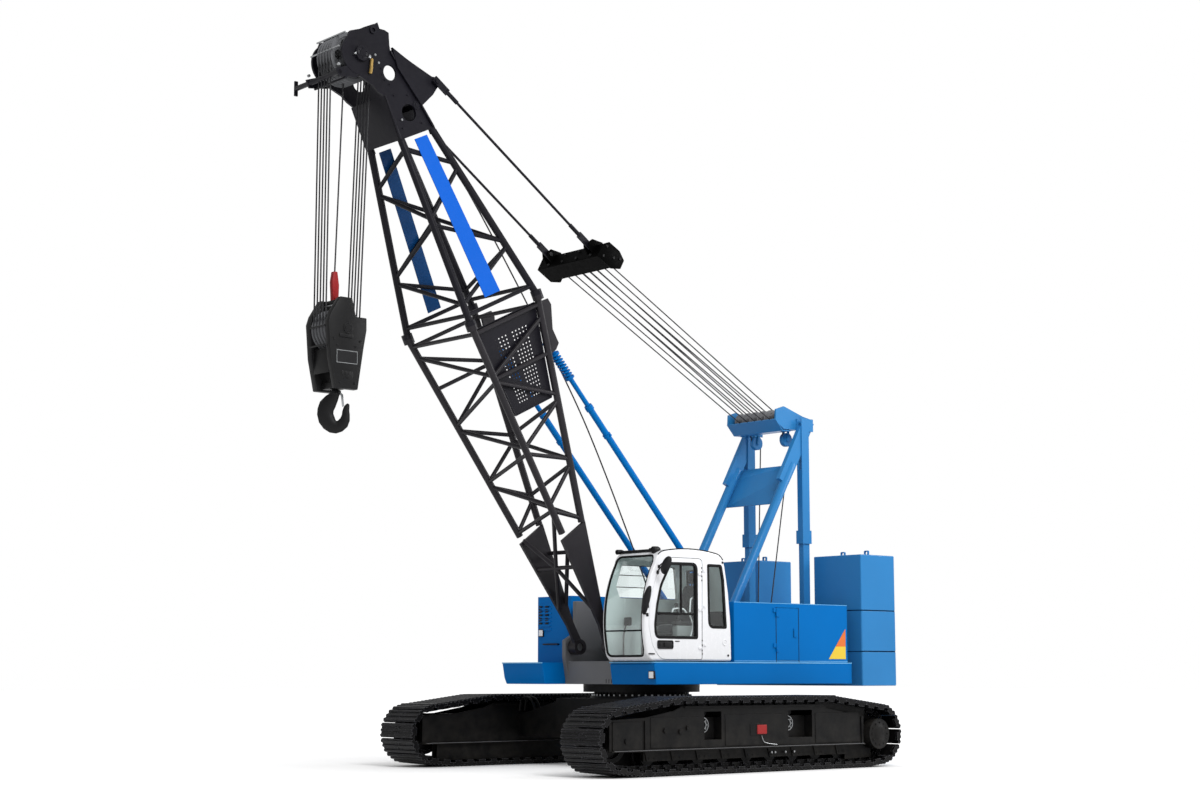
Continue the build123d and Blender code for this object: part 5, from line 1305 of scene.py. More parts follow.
bm = bmesh.new()
CHEEK_SHAPE = ((-0.25, -0.06), (-0.25, 0.09), (-0.11, 0.165), (0.12, 0.165), (0.205, 0.07),
               (0.205, -0.15), (-0.10, -0.16))
LUG = ((0.10, 0.10), (0.12, 0.18), (0.31, 0.11), (0.345, 0.035), (0.30, -0.03), (0.18, -0.08))
EAR = ((-0.20, 0.10), (-0.17, 0.175), (-0.09, 0.175), (-0.05, 0.10))
for i in (0, 1):
    for shape, places, thickness, edge in (
            (CHEEK_SHAPE, (0.699, -0.671), 0.028, 0.004), (LUG, (0.432, -0.405), 0.027, 0.004),
            (LUG, (0.545, -0.520), 0.025, 0.004), (EAR, (0.60, -0.585), 0.015, 0.003)):
        plate(bm, shape, thickness, luff_plane(places[i]), edge=edge)
for outline in (((-0.100, 0.150), (-0.100, 0.164), (0.115, 0.164), (0.115, 0.150)),
               ((-0.090, -0.158), (-0.090, -0.145), (0.200, -0.137), (0.200, -0.150)),
               ((0.190, -0.145), (0.190, 0.066), (0.203, 0.066), (0.203, -0.145)),
               ((0.112, 0.163), (0.204, 0.070), (0.194, 0.066), (0.108, 0.152))):
    plate(bm, outline, 1.34, luff_plane(0.67), edge=0.002, steps=1)
for along, up in ((-0.135, 0.12), (-0.2, -0.02), (-0.12, -0.10)):
    bar(bm, luff_point(along, -0.68, up), luff_point(along, 0.68, up), 0.014, sides=10)
paint(bm, 0)
for y in BRIDLE_Y:
    sheave(bm, frame_at(BRIDLE_SHAFT + LEFT * y, LUFF_WAY, LEFT), 0.127, 0.046, 0.055, holes=5)
bar(bm, BRIDLE_SHAFT - LEFT * 0.68, BRIDLE_SHAFT + LEFT * 0.68, 0.039, sides=20)
paint(bm, 1)
for y in BRIDLE_Y:
    wrap(bm, BRIDLE_SHAFT + LEFT * y, BRIDLE_GROOVE, -61.6, 118.4)
paint(bm, 2)
for y in (-0.46, -0.14, 0.18, 0.50):
    for along, up in ((0.203, -0.10), (0.203, 0.03)):
        bar(bm, luff_point(along, y, up), luff_point(along + 0.016, y, up), 0.020, sides=6)
for side in (1, -1):
    for along, up in ((-0.17, 0.06), (-0.06, 0.0), (0.12, -0.09), (0.13, 0.08)):
        bar(bm, luff_point(along, side * 0.697, up), luff_point(along, side * 0.71, up), 0.020,
            sides=6)
    bar(bm, at(1.452, side * 0.39, 7.61), at(1.452, side * 0.449, 7.61), 0.029, sides=18)
paint(bm, 3)
# The bridle box wears the darker black: painted shade.
finish_piece("bridle_box", bm, "bridle", [SHADED_TACKLE_BLACK, FRAME_GREY, ROPE, BLOCK_BLACK],
             replaces=["bridle"])

bm = bmesh.new()
for i, y in enumerate(BRIDLE_Y):
    strand(bm, NEST + LEFT * NEST_Y[i] + LUFF_UP * NEST_GROOVE,
           BRIDLE_SHAFT + LEFT * y + LUFF_UP * BRIDLE_GROOVE, LUFF_ROPE)
    strand(bm, NEST + LEFT * NEST_Y[i + 1] - LUFF_UP * NEST_GROOVE,
           BRIDLE_SHAFT + LEFT * y - LUFF_UP * BRIDLE_GROOVE, LUFF_ROPE)
luff_falls = finish_piece("luffing_falls", bm, None, [ROPE],
                          replaces=["luffing_falls_nest", "luffing_falls_bridle"])
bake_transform(luff_falls)

# %% [markdown]
# The winches stand in a row between the webs of the main frame. Rope lies on a drum turn
# beside turn, so a drum's profile is a row of small humps, spun about its shaft. From the
# front drum a slack line runs up behind the boom to its head; from the rear one two lines
# run up to the idlers on the A-frame.

# %% Winches and their lines
WINCHES = (                   # X, Z, drum radius, flange radius
    (-0.06, 1.76, 0.21, 0.32), (-1.65, 1.76, 0.21, 0.32), (-2.40, 1.72, 0.17, 0.27))
DRUM_TURNS = 24
bm = bmesh.new()
for x, z, _, flange in WINCHES:
    middle = at(x, 0, z)
    for side in (1, -1):
        spot = frame_at(middle + LEFT * side * 0.342, FORWARD, LEFT * side)
        turned(bm, ((0, 0.012), (0.10, 0.012), (0.12, 0.004), (flange - 0.03, 0.004),
                    (flange - 0.02, 0.012), (flange, 0.012), (flange, -0.012), (0, -0.012)),
               spot, 40)
        hexagons(bm, ring_of(middle + LEFT * side * 0.35, flange - 0.06, 12, LEFT * side),
                 LEFT * side, 0.012, 0.012)
        sheet(bm, (x - 0.13, x + 0.13), (side * 0.42, side * 0.48), (1.29, z + 0.13), edge=0.012)
    bar(bm, middle - LEFT * 0.48, middle + LEFT * 0.48, 0.09, sides=28)
paint(bm, 0)
for x, z, drum, _ in WINCHES:
    profile = [(drum - 0.03, -0.33)]
    for i in range(DRUM_TURNS):
        low = -0.33 + 0.66 * i / DRUM_TURNS
        profile += [(drum - 0.012, low + 0.003), (drum - 0.002, low + 0.009),
                    (drum - 0.002, low + 0.019), (drum - 0.012, low + 0.025)]
    profile += [(drum - 0.03, 0.33)]
    turned(bm, profile, frame_at(at(x, 0, z), FORWARD, LEFT), 40)
paint(bm, 1)
finish_piece("winch_row", bm, "upper", [FRAME_GREY, ROPE], replaces=["winches"])

bm = bmesh.new()
line = [boom(8.36, 0.03, 0.31), at(3.53, 0.04, 8.45), at(2.46, 0.06, 6.95), at(1.37, 0.08, 5.36),
        at(0.82, 0.09, 4.36), at(0.25, 0.10, 3.22), at(-0.2, 0.10, 2.3), at(-0.268, 0.10, 1.80)]
hose(bm, line, ROPE_RADIUS, sides=2)
hoist_line = finish_piece("hoist_line", bm, None, [ROPE])
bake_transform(hoist_line)

bm = bmesh.new()
for side in (1, -1):
    idler = at(-2.83, side * 0.33, 5.06)
    strand(bm, idler - FORWARD * 0.099, at(-2.565, side * 0.09, 1.74), LUFF_ROPE)
    strand(bm, idler + FORWARD * 0.099, at(-2.735, side * 0.4125, 5.40), LUFF_ROPE)
    wrap(bm, idler, 0.099, 0, 180, rope=LUFF_ROPE)
finish_piece("luffing_line", bm, "upper", [ROPE])

# %% [markdown]
# Each backstop is a rod that slides in a tube, with a coil spring under the eye at the boom.
# The coil is a real helix: a bar bent along eight turns, with flattened seats at its ends.

# %% Backstop rods
STOP_FOOT = at(-1.127, 0, 2.32)
STOP_EYE = boom(4.44, 0, 0.704)
STOP_RUN = (STOP_EYE - STOP_FOOT).length
STOP_WAY = (STOP_EYE - STOP_FOOT).normalized()
STOP_UP = LEFT.cross(STOP_WAY)
COIL_TURNS, COIL_STEPS = 8, 128


def stop_point(along, side):
    """A point on the middle line of a backstop, from its foot."""
    return STOP_FOOT + STOP_WAY * along + LEFT * side * 0.53


bm = bmesh.new()
for side in (1, -1):
    bar(bm, stop_point(2.75, side), stop_point(STOP_RUN, side), 0.0355, sides=20)
    spring = []
    for i in range(COIL_STEPS + 1):
        turn = 2 * math.pi * COIL_TURNS * i / COIL_STEPS
        along = STOP_RUN - 0.606 + 0.402 * i / COIL_STEPS
        spring.append(stop_point(along, side) + 0.056 * (math.cos(turn) * LEFT
                                                         + math.sin(turn) * STOP_UP))
    hose(bm, spring, 0.0145, sides=2, smooth=False)
    for along in (STOP_RUN - 0.618, STOP_RUN - 0.190):
        bar(bm, stop_point(along - 0.012, side), stop_point(along + 0.012, side), 0.071, sides=24)
    bar(bm, STOP_EYE + LEFT * (side * 0.53 - 0.04), STOP_EYE + LEFT * (side * 0.53 + 0.048), 0.0615,
        sides=28)
paint(bm, 0)
for side in (1, -1):
    pin = STOP_EYE + LEFT * side * 0.53
    bar(bm, pin - LEFT * 0.046, pin + LEFT * 0.052, 0.030, sides=16)
paint(bm, 1)
finish_piece("backstop_sliders", bm, "backstop_rods", [BLUE, BARE_STEEL],
             replaces=["backstop_rods"])

bm = bmesh.new()
for side in (1, -1):
    for along, radius, length in ((3.34, 0.060, 0.05), (3.87, 0.058, 0.05), (0.63, 0.057, 0.03)):
        bar(bm, stop_point(along, side), stop_point(along + length, side), radius, sides=24)
    cross = stop_point(3.365, side)
    bar(bm, cross - LEFT * 0.085, cross + LEFT * 0.085, 0.016, sides=12)
finish_piece("backstop_collars", bm, "backstop_tubes", [BLUE])

# %% [markdown]
# The cab is a pressed shell with round edges, and every opening in it has round corners. Its
# side is drawn once, with arcs for the bowed front and the domed roof. Three helpers on
# outlines do the rest: one gives the points of an arc, one rounds corners, and one moves a
# whole outline outwards or inwards, for walls, seals and gaps.

# %% Outlines with arcs and round corners
def arc(start, middle, end, steps=8):
    """Points of the arc from start to end that passes through the middle point."""
    a, b, c = complex(*start), complex(*middle), complex(*end)
    ratio = (c - a) / (b - a)
    centre = a + (b - a) * (ratio - abs(ratio) ** 2) / (ratio - ratio.conjugate())
    turn = cmath.phase((b - centre) / (a - centre)) + cmath.phase((c - centre) / (b - centre))
    spots = [centre + (a - centre) * cmath.exp(1j * turn * i / steps) for i in range(steps + 1)]
    return [(spot.real, spot.imag) for spot in spots]


def corners_of(outline):
    """Each corner of a closed outline, with the corners before and after it."""
    spots = [Vector(point) for point in outline]
    return zip(spots[-1:] + spots[:-1], spots, spots[1:] + spots[:1])


def rounded(outline, radius):
    """A closed outline with its corners rounded, by one radius or by one for each corner."""
    radii = radius if isinstance(radius, tuple) else (radius,) * len(outline)
    made = []
    for (before, corner, after), radius in zip(corners_of(outline), radii):
        back, ahead = before - corner, after - corner
        reach = radius / math.tan(back.angle(ahead) / 2)
        reach = min(reach, 0.45 * min(back.length, ahead.length))
        start, end = corner + back.normalized() * reach, corner + ahead.normalized() * reach
        for i in range(6):
            share = i / 5
            made.append(tuple(start.lerp(corner, share).lerp(corner.lerp(end, share), share)))
    return made


def divided(outline, longest):
    """The points along a closed outline, none further from the next than this."""
    made = []
    for _, here, after in corners_of(outline):
        parts = max(1, math.ceil((after - here).length / longest))
        made += [here.lerp(after, i / parts) for i in range(parts)]
    return made


def grown(outline, amount):
    """A closed outline moved outwards, or inwards if the amount is negative."""
    area = sum(before.cross(here) for before, here, _ in corners_of(outline))
    made = []
    for before, here, after in corners_of(outline):
        sides = [(b - a).normalized() for a, b in ((before, here), (here, after))]
        first, second = [Vector((side.y, -side.x)) * math.copysign(1, area) for side in sides]
        corner = (first + second).normalized()
        made.append(tuple(here + corner * amount / max(0.4, corner.dot(first))))
    return made


CAB_FAR, CAB_NEAR = 0.6, 1.5
CAB_WALL = 0.045
CAB_FLOOR = 1.54
CHIN = arc((1.170, CAB_FLOOR), (1.232, 1.600), (1.258, 1.70), 5)
WINDSCREEN = arc((1.258, 1.70), (1.302, 2.05), (1.082, 2.93), 16)
BROW = arc((1.082, 2.93), (1.022, 3.045), (0.92, 3.098), 6)
ROOF = arc((0.92, 3.098), (0.40, 3.140), (-0.08, 3.098), 8) + arc(
    (-0.08, 3.098), (-0.232, 3.030), (-0.292, 2.91), 6)[1:]
CAB_SIDE = (CHIN + WINDSCREEN[1:] + BROW[1:] + ROOF[1:]
            + [(-0.362, 2.53), (-0.405, 2.12), (-0.418, CAB_FLOOR)])
DOOR = rounded([(0.188, 1.562), (1.00, 1.562), (1.150, 1.76), (1.218, 2.05), (1.190, 2.40),
                (1.060, 2.75), (0.79, 2.998), (0.172, 2.998)],
               (0.03, 0.2, 0.3, 0.5, 0.5, 0.4, 0.15, 0.08))
DOOR_WINDOW = rounded([(0.284, 1.868), (1.085, 1.868), (1.100, 2.05), (1.058, 2.33), (0.985, 2.60),
                       (0.800, 2.915), (0.284, 2.922)], (0.02, 0.09, 0.3, 0.5, 0.4, 0.03, 0.09))
QUARTER = rounded([(-0.302, 2.018), (0.046, 2.018), (0.063, 2.918), (-0.208, 2.918),
                   (-0.252, 2.72)], (0.02, 0.10, 0.02, 0.04, 0.3))
FAR_WINDOW = rounded([(-0.15, 2.44), (0.99, 2.44), (1.066, 2.60), (0.955, 2.92), (-0.10, 2.92)],
                     0.05)
print("cab outline:", len(CAB_SIDE), "points; door:", len(DOOR))

# %% [markdown]
# The shell could be built from separate walls, but then every bend would need its own strip.
# It is simpler, as in the press shop, to form the whole body first and to cut it afterwards: a
# rounded solid, hollowed by a smaller one, with the door and the windows cut through. Boolean
# modifiers do the cutting, and the result is taken up as a plain mesh again.

# %% Cutting with Boolean modifiers
def carve(bm, cutters):
    """Cut bodies, each a bmesh, out of a body, and give the result as a new bmesh."""
    holders = []
    for source in (bm, *cutters):
        bmesh.ops.recalc_face_normals(source, faces=source.faces)
        mesh = bpy.data.meshes.new("carving")
        source.to_mesh(mesh)
        source.free()
        holders.append(bpy.data.objects.new("carving", mesh))
        scene.collection.objects.link(holders[-1])
    for tool in holders[1:]:
        cut = holders[0].modifiers.new("cut", "BOOLEAN")
        cut.operation = "DIFFERENCE"
        cut.solver = "EXACT"
        cut.object = tool
    seen = holders[0].evaluated_get(bpy.context.evaluated_depsgraph_get())
    result = bmesh.new()
    result.from_mesh(seen.to_mesh())
    seen.to_mesh_clear()
    for holder in holders:
        mesh = holder.data
        bpy.data.objects.remove(holder)
        bpy.data.meshes.remove(mesh)
    return result


def slab(outline, near, far, edge=0.0, steps=3):
    """A bmesh of its own: an outline in X and Z, from one Y to another.

    It is scored across the later openings, so that no face ever has a hole inside it."""
    bm = bmesh.new()
    plate(bm, outline, near - far, upright(SWING_X, near), edge=edge, steps=steps)
    for place, across_it in ((at(0.42, 0, 0), (1, 0, 0)), (at(-0.12, 0, 0), (1, 0, 0)),
                             (at(0, 0, 2.26), (0, 0, 1)), (at(0, 0, 2.75), (0, 0, 1))):
        bmesh.ops.bisect_plane(bm, geom=bm.verts[:] + bm.edges[:] + bm.faces[:], plane_co=place,
                               plane_no=across_it)
    return bm


def band(bm, outline, y, depth, inner, outer, edge=0.003):
    """A seal round an opening in a wall, from a little inside its line to a little outside."""
    plate(bm, grown(outline, outer), depth, upright(SWING_X, y), edge=edge,
          holes=[grown(outline, -inner)])


WALL_OUT, WALL_IN = CAB_NEAR, CAB_NEAR - CAB_WALL
FAR_IN = CAB_FAR + CAB_WALL
FRONT_FAR, FRONT_NEAR = CAB_FAR + 0.040, CAB_NEAR - 0.062
FRONT_LOW, FRONT_HIGH = 1.600, 3.032
FRONT = rounded([(FRONT_FAR, FRONT_LOW), (FRONT_NEAR, FRONT_LOW), (FRONT_NEAR, FRONT_HIGH),
                 (FRONT_FAR, FRONT_HIGH)], 0.10)
REAR_WINDOW = rounded([(CAB_FAR + 0.07, 2.62), (CAB_NEAR - 0.46, 2.62), (CAB_NEAR - 0.46, 2.88),
                       (CAB_FAR + 0.07, 2.88)], 0.05)
cuts = [slab(grown(CAB_SIDE, -CAB_WALL), WALL_IN, FAR_IN, edge=0.02),
        slab(grown(DOOR, 0.007), CAB_NEAR + 0.03, WALL_IN - 0.03),
        slab(QUARTER, CAB_NEAR + 0.03, WALL_IN - 0.03),
        slab(FAR_WINDOW, FAR_IN + 0.03, CAB_FAR - 0.03)]
front_cut = bmesh.new()
plate(front_cut, FRONT, 0.5, frame_at(at(0.90, 0, 0), LEFT, FORWARD))
rear_cut = bmesh.new()
plate(rear_cut, REAR_WINDOW, 0.35, frame_at(at(-0.55, 0, 0), LEFT, FORWARD))
shell = carve(slab(CAB_SIDE, CAB_NEAR, CAB_FAR, edge=0.034, steps=4), cuts + [front_cut, rear_cut])
print("cab shell:", len(shell.faces), "faces")

# %% [markdown]
# Inside, the far wall and the roof have pale grey-green trim, and below 2.3 m the back and the
# floor behind the seat are dark. Each face of the hollow is told from the outer skin by the way
# it looks: towards the middle of the cab. Then come the rubber seals: a moulded profile is
# pressed over the edge of each opening, and it holds the pane.

# %% Cab shell, its trim and seals
TRIM_PALE = coated("pale_trim", (206, 216, 216), 0.6, drift=0.06, rub_and_highlight=0.1, relief=0.05, grain=260)
TRIM_DARK = coated("dark_trim", (30, 32, 38), 0.7, drift=0.08, rub_and_highlight=0.1, relief=0.08, grain=300,
                   specular=0.15)
cab_middle = at(0.45, 1.05, 2.35)
for face in shell.faces:
    spot = face.calc_center_median()
    if (cab_middle - spot).normalized().dot(face.normal) > 0.12:
        # Faces below 2.3 m behind the seat are made dark; faces that look down get the grey trim.
        behind = spot.x < SWING_X + 0.42 and spot.z < 2.3
        face.material_index = 5 if face.normal.z < -0.4 else 3 if behind else 2
keep_looks(shell)
band(shell, QUARTER, CAB_NEAR + 0.004, 0.03, 0.026, 0.014)
band(shell, FAR_WINDOW, CAB_FAR + 0.014, 0.018, 0.008, 0.012)


def cross_plate(bm, outline, x, depth, edge=0.003, holes=()):
    """A plate that stands across the cab: outline points (y, z), its back at x."""
    plate(bm, outline, depth, frame_at(at(x, 0, 0), LEFT, FORWARD), edge, holes)


def front_x(z):
    """How far forward the cab's bowed front is at a height."""
    front = CHIN + WINDSCREEN[1:] + BROW[1:]
    for (x0, z0), (x1, z1) in zip(front, front[1:]):
        if z <= z1:
            return x0 + (x1 - x0) * (z - z0) / (z1 - z0)
    return x1


cross_plate(shell, grown(REAR_WINDOW, 0.012), -0.355, 0.055, holes=[grown(REAR_WINDOW, -0.016)])
for inset, depth, radius in ((0.0, 0.006, 0.010), (-0.013, 0.014, 0.011)):
    seal = [at(front_x(z) - depth, y, z) for y, z in divided(grown(FRONT, inset), 0.12)]
    hose(shell, seal + seal[:1], radius)
split = front_x(1.962)
block(shell, at(split - 0.030, FRONT_FAR, 1.951), at(split + 0.001, FRONT_NEAR, 1.973), edge=0.004)
roof_line = BROW[3:] + ROOF[1:-2]
hose(shell, [at(x, CAB_NEAR - 0.010, z - 0.004) for x, z in roof_line], 0.008)
for z in (2.773, 2.600):
    bar(shell, at(0.30, CAB_FAR + 0.022, z), at(1.04, CAB_FAR + 0.022, z), 0.006, sides=8)
paint(shell, 1)
for z in (2.87, 2.81, 2.75, 2.69, 1.83, 1.765, 1.70, 1.64):
    bar(shell, at(0.182, CAB_NEAR - 0.004, z - 0.011), at(0.182, CAB_NEAR - 0.004, z + 0.011),
        0.011, sides=10)
for x, z in ((-0.235, 2.962), (-0.335, 1.62)):
    bar(shell, at(x, CAB_NEAR - 0.004, z), at(x, CAB_NEAR + 0.008, z), 0.017, sides=14)
block(shell, at(1.115, CAB_NEAR - 0.01, 1.628), at(1.225, CAB_NEAR + 0.014, 1.646), edge=0.004)
paint(shell, 4)
cap = frame_at(at(-0.273, CAB_NEAR - 0.002, 1.806), FORWARD, LEFT)
turned(shell, ((0, 0.006), (0.030, 0.006), (0.033, 0.010), (0.046, 0.010), (0.050, 0)), cap, 28)
bar(shell, cap.translation, cap.translation + LEFT * 0.012, 0.010, sides=12)
for z in (1.70, 2.25, 2.76):
    block(shell, at(0.110, CAB_NEAR - 0.002, z + 0.045), at(0.150, CAB_NEAR + 0.012, z + 0.085),
          edge=0.004)
paint(shell, 0)
finish_piece("cab_shell", shell, "upper",
             [CAB_WHITE, RUBBER, TRIM_PALE, TRIM_DARK, PLASTIC, INTERIOR],
             replaces=["cab"])

# %% [markdown]
# The door is the same wall, cut out a little smaller than its opening, so that a narrow gap
# shows all round it. It has its own seal, the stile and rail of its sliding window, a large
# recessed handle with a lock, and white grab rails on its inner side.

# %% Cab door
door = carve(slab(DOOR, WALL_OUT, WALL_IN, edge=0.006),
             [slab(DOOR_WINDOW, WALL_OUT + 0.03, WALL_IN - 0.03)])
for face in door.faces:
    if face.normal.y < -0.5:
        face.material_index = 2
keep_looks(door)
band(door, DOOR_WINDOW, CAB_NEAR + 0.004, 0.03, 0.022, 0.020)
for low, high in (((0.560, 2.21), (0.592, 2.90)), ((0.30, 2.188), (1.07, 2.222)),
                  ((0.295, 1.88), (0.318, 2.90))):
    block(door, at(low[0], CAB_NEAR - 0.04, low[1]), at(high[0], CAB_NEAR - 0.012, high[1]),
          edge=0.004)
paint(door, 1)
HANDLE = rounded([(0.755, 1.706), (1.062, 1.706), (1.062, 1.828), (0.755, 1.828)], 0.035)
band(door, HANDLE, CAB_NEAR + 0.014, 0.018, 0.016, 0.0, edge=0.004)
plate(door, grown(HANDLE, -0.008), 0.010, upright(SWING_X, CAB_NEAR + 0.006), edge=0.002)
pull = rounded([(0.785, 1.735), (0.935, 1.735), (0.935, 1.80), (0.785, 1.80)], 0.02)
plate(door, pull, 0.016, upright(SWING_X, CAB_NEAR + 0.018), edge=0.005)
plate(door, circle_points((1.0, 1.768), 0.026, 20), 0.014, upright(SWING_X, CAB_NEAR + 0.014),
      edge=0.004)
block(door, at(0.632, CAB_NEAR - 0.004, 1.808), at(0.716, CAB_NEAR + 0.006, 1.822), edge=0.003)
paint(door, 3)
for rail in (((0.693, 2.20), (0.690, 2.262), (0.640, 2.284), (0.500, 2.284), (0.440, 2.262),
              (0.400, 2.20)),
             ((0.225, 2.475), (0.318, 2.435), (0.334, 2.40), (0.345, 2.235)),
             ((0.345, 2.190), (0.300, 2.10), (0.290, 2.03), (0.325, 1.90), (0.345, 1.86))):
    hose(door, [at(x, CAB_NEAR - 0.085, z) for x, z in rail], 0.012)
for z in (1.70, 2.25, 2.76):
    bar(door, at(0.187, CAB_NEAR + 0.013, z), at(0.187, CAB_NEAR + 0.013, z + 0.04), 0.013,
        sides=14)
    block(door, at(0.187, CAB_NEAR - 0.002, z), at(0.255, CAB_NEAR + 0.010, z + 0.04), edge=0.003)
paint(door, 0)
finish_piece("cab_door_leaf", door, "cab_door", [CAB_WHITE, RUBBER, TRIM_DARK, PLASTIC],
             replaces=["cab_door"])

# %% [markdown]
# The panes are real slabs of tinted glass, a few millimetres thick, so that they bend and
# reflect light at both faces. Light for shadows is let straight through, which keeps the
# inside of the cab bright without long sampling. The windscreen is a strip that follows the
# bow of the front.

# %% Glass
GLASS, glass_tree, glass_shader = shaded("tinted_glass", {
    "Transmission Weight": 1.0, "IOR": 1.5, "Specular Tint": (1, 1, 1, 1)})
smear = node(glass_tree, "ShaderNodeTexNoise", {"Scale": 5.0, "Detail": 3.0})
link(glass_tree, node(glass_tree, "ShaderNodeTexCoord").outputs["Object"], smear.inputs["Vector"])
link(glass_tree, mix_color(glass_tree, smear.outputs["Fac"], card(250, 254, 254),
                           card(244, 251, 250)), glass_shader.inputs["Base Color"])
link(glass_tree, ramp(glass_tree, smear.outputs["Fac"], 0.4, 0.9, 0.0, 0.04),
     glass_shader.inputs["Roughness"])
clear = node(glass_tree, "ShaderNodeBsdfTransparent", {"Color": (0.93, 0.97, 0.96, 1)})
either = node(glass_tree, "ShaderNodeMixShader")
glass_path = node(glass_tree, "ShaderNodeLightPath")
soft = math_node(glass_tree, "MAXIMUM", glass_path.outputs["Is Shadow Ray"],
                 glass_path.outputs["Is Diffuse Ray"])
link(glass_tree, soft, either.inputs[0])
link(glass_tree, glass_shader.outputs[0], either.inputs[1])
link(glass_tree, clear.outputs[0], either.inputs[2])
link(glass_tree, either.outputs[0], glass_tree.nodes["Material Output"].inputs["Surface"])

bm = bmesh.new()
plate(bm, grown(QUARTER, -0.006), 0.006, upright(SWING_X, CAB_NEAR - 0.012))
plate(bm, grown(FAR_WINDOW, -0.006), 0.006, upright(SWING_X, CAB_FAR + 0.018))
cross_plate(bm, grown(REAR_WINDOW, -0.006), -0.335, 0.006, edge=0)
levels = [FRONT_LOW + 0.02 + (FRONT_HIGH - FRONT_LOW - 0.04) * i / 24 for i in range(25)]
strip = [(front_x(z) - 0.012, z) for z in levels] + [(front_x(z) - 0.018, z) for z in levels[::-1]]
plate(bm, strip, FRONT_NEAR - FRONT_FAR - 0.012, upright(SWING_X, FRONT_NEAR - 0.006))
finish_piece("cab_panes", bm, "upper", [GLASS], replaces=["cab_glass"])
bm = bmesh.new()
plate(bm, grown(DOOR_WINDOW, -0.006), 0.006, upright(SWING_X, CAB_NEAR - 0.020))
finish_piece("cab_door_pane", bm, "cab_door", [GLASS], replaces=["cab_door_glass"])

# %% [markdown]
# A sun visor on brackets, with a small lamp at each end, sits on the brow of the roof. The two
# mirrors hang from bent tubes at the front pillar: a round-cornered one high up for the winches
# and a long one for the tracks. Their backs are moulded shells, so they start as spheres that
# are squashed.

# %% Visor and mirrors
bm = bmesh.new()
block(bm, at(0.945, 0.60, 3.082), at(0.990, 1.42, 3.122), edge=0.012)
for y in (0.70, 1.24):
    block(bm, at(0.88, y, 3.082), at(0.97, y + 0.03, 3.108), edge=0.006)
for y, size in ((0.612, 0.036), (1.385, 0.050)):
    spot = frame_at(at(0.975, y, 3.108), LEFT, Vector((1, 0, -0.1)))
    turned(bm, ((0, -0.075), (size * 0.55, -0.070), (size * 0.9, -0.035), (size, 0.03),
                (size, 0.055), (size * 0.86, 0.058), (size * 0.80, 0.045), (0, 0.042)), spot, 24)
block(bm, at(0.950, 1.24, 3.090), at(0.985, 1.40, 3.138), edge=0.014)
finish_piece("cab_visor", bm, "upper", [PLASTIC])


def mirror_shell(bm, spot, width, height, depth):
    """A moulded mirror back: half a squashed sphere with a flat face and a rim."""
    made = bmesh.ops.create_uvsphere(bm, u_segments=28, v_segments=20, radius=1)["verts"]
    for vert in made:
        flat = min(vert.co.x, 0.12)
        across_share = math.copysign(abs(vert.co.y) ** 0.8, vert.co.y)
        along_share = math.copysign(abs(vert.co.z) ** 0.9, vert.co.z)
        vert.co = spot @ Vector((-flat * depth, across_share * width / 2, along_share * height / 2))


bm = bmesh.new()
lean_high = Matrix.Rotation(math.radians(-30), 4, "X")
lean_long = Matrix.Rotation(math.radians(-19), 4, "X")
mirror_shell(bm, Matrix.Translation(at(1.06, 1.705, 2.87)) @ lean_high, 0.135, 0.275, 0.075)
mirror_shell(bm, Matrix.Translation(at(1.335, 1.59, 2.378)) @ lean_long, 0.105, 0.42, 0.065)
for route in (((1.02, 1.49, 2.86), (1.03, 1.56, 2.895), (1.05, 1.66, 2.93), (1.05, 1.70, 2.93)),
              ((1.055, 1.49, 2.78), (1.05, 1.56, 2.84), (1.05, 1.62, 2.90), (1.05, 1.69, 2.92)),
              ((1.245, 1.49, 2.30), (1.30, 1.52, 2.31), (1.32, 1.56, 2.32), (1.325, 1.58, 2.36)),
              ((1.255, 1.49, 2.18), (1.31, 1.50, 2.20), (1.33, 1.53, 2.22), (1.335, 1.55, 2.25))):
    hose(bm, [at(*point) for point in route], 0.010)
for x, z in ((1.025, 2.86), (1.05, 2.78), (1.24, 2.30), (1.25, 2.18)):
    block(bm, at(x - 0.02, CAB_NEAR - 0.012, z - 0.025), at(x + 0.02, CAB_NEAR + 0.012, z + 0.025),
          edge=0.005)
paint(bm, 0)
for centre, lean, width, height in ((at(1.053, 1.705, 2.87), lean_high, 0.115, 0.245),
                                    (at(1.329, 1.59, 2.378), lean_long, 0.085, 0.37)):
    oval = [(width / 2 * x, height / 2 * y) for x, y in circle_points((0, 0), 1, 28)]
    plate(bm, oval, 0.004, Matrix.Translation(centre) @ lean @ frame_at(
        Vector((-0.002, 0, 0)), LEFT, FORWARD))
paint(bm, 1)
finish_piece("cab_mirror_arms", bm, "upper", [PLASTIC, BARE_STEEL],
             replaces=["cab_mirrors"])

# %% [markdown]
# The seat is upholstery, not sheet metal: each cushion is a closed form with a crown, sides that
# draw in between its corners, and a welt where the cover is sewn. A cube is cut finely and its
# corners are drawn round, then the sides are pulled in by a cosine. The cover is woven cloth:
# two crossed waves make the threads, in height and in shade.

